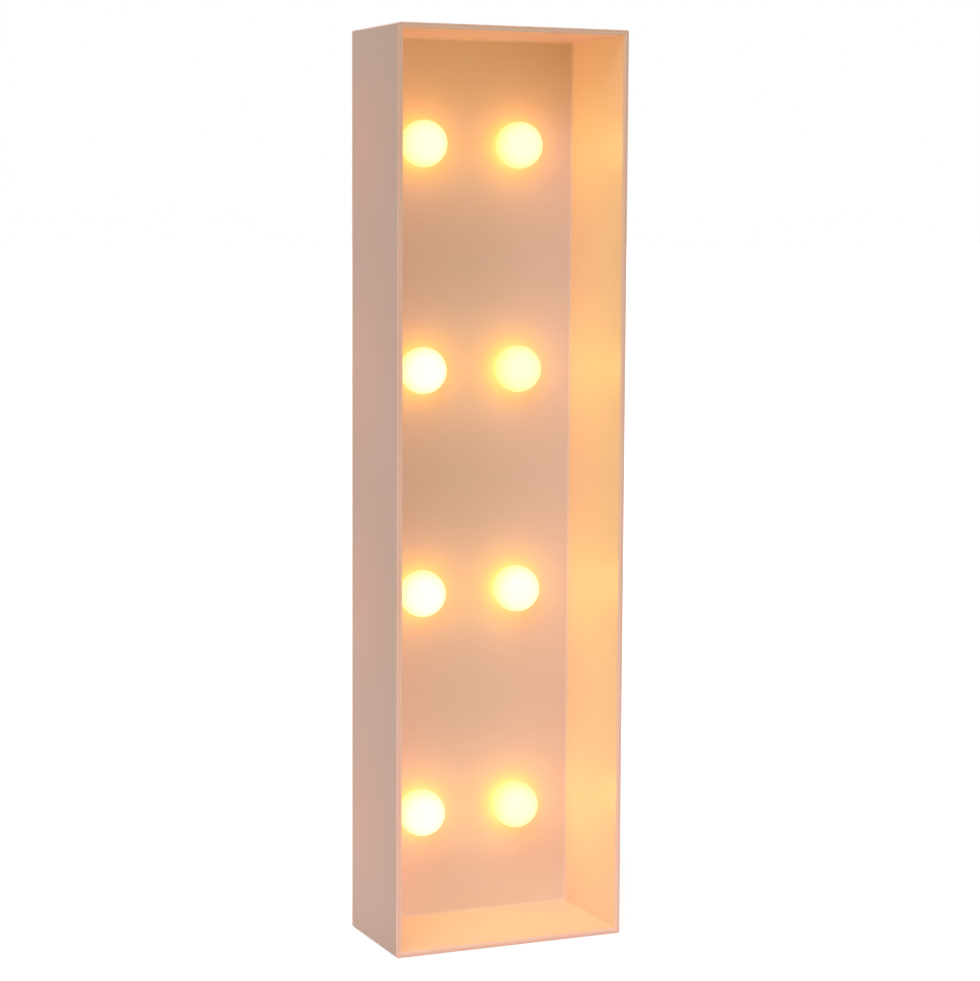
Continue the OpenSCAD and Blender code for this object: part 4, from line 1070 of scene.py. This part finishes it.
led_names = [name.replace("bulb", "led") for name in bulb_names]
led_finish, tree, shader = new_finish("led_lens")
_, _, depth, _ = object_place(tree)
board_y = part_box("light_board_left")[0].y
is_lead = calc(tree, "GREATER_THAN", depth, board_y)
lens = moulded(tree, LENS_TONE, LENS_SHEEN, LENS_CLOUDS)
tin = use_group(tree, metal_group, Tone=TIN_TONE, Stretch=LIGHT_LEAD_STRETCH, Dullness=TIN_DULLNESS)
set_inputs(tree, shader, Base_Color=blend_colours(tree, is_lead, lens["Color"], tin["Color"]),
           Roughness=lens["Roughness"], Metallic=is_lead, Emission_Strength=1.0,
           Emission_Color=blend_colours(tree, is_lead, LENS_LIGHT, BLACK))
dress(led_finish, led_names)
print("lights", len(led_names), "leads from Y", round(board_y / MM, 1), "mm")

# %% [markdown]
# ## The resistor
#
# A resistor is a lacquered body with coloured rings on tinned leads. Its rings are painted on the real
# thing, so here they are stripes of colour at four places along it.

# %% Finish: resistor
LACQUER_TONE = (0.50, 0.33, 0.16, 1)
LACQUER_SHEEN = (0.2, 0.3)
LACQUER_CLOUDS = 0.1
RINGS = [
    (-2.2 * MM, (0.30, 0.03, 0.02, 1)),
    (-0.9 * MM, (0.02, 0.02, 0.02, 1)),
    (0.2 * MM, (0.16, 0.06, 0.02, 1)),
    (2.2 * MM, (0.50, 0.32, 0.06, 1)),
]
RING_HALF = 0.3 * MM
BODY_HALF = 3.1 * MM
RESISTOR_LEAD_STRETCH = (1.0, 1.0, 0.2)

resistor_finish, tree, shader = new_finish("resistor_ceramic")
_, _, _, up = object_place(tree)
resistor_low, resistor_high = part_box("resistor")
middle_z = (resistor_low.z + resistor_high.z) / 2
coat = LACQUER_TONE
for rise, ring_tone in RINGS:
    off_ring = distance(tree, up, middle_z + rise)
    coat = blend_colours(tree, calc(tree, "LESS_THAN", off_ring, RING_HALF), coat, ring_tone)
is_lead = calc(tree, "GREATER_THAN", distance(tree, up, middle_z), BODY_HALF)
lacquer = moulded(tree, coat, LACQUER_SHEEN, LACQUER_CLOUDS)
tin = use_group(tree, metal_group, Tone=TIN_TONE, Stretch=RESISTOR_LEAD_STRETCH, Dullness=TIN_DULLNESS)
set_inputs(tree, shader, Base_Color=blend_colours(tree, is_lead, lacquer["Color"], tin["Color"]),
           Roughness=lacquer["Roughness"], Metallic=is_lead)
dress(resistor_finish, ["resistor"])
print("resistor with", len(RINGS), "rings about Z", round(middle_z / MM, 1), "mm")

# %% [markdown]
# ## Sizes
#
# The finer pieces must not make the letter larger or smaller. The box of the solids was kept at the
# start, and the box of the dressed letter is printed here, so that the two can be compared.

# %% Print the sizes and finish
low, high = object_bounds()
print("dressed size in mm", [round(x / MM, 1) for x in high - low])
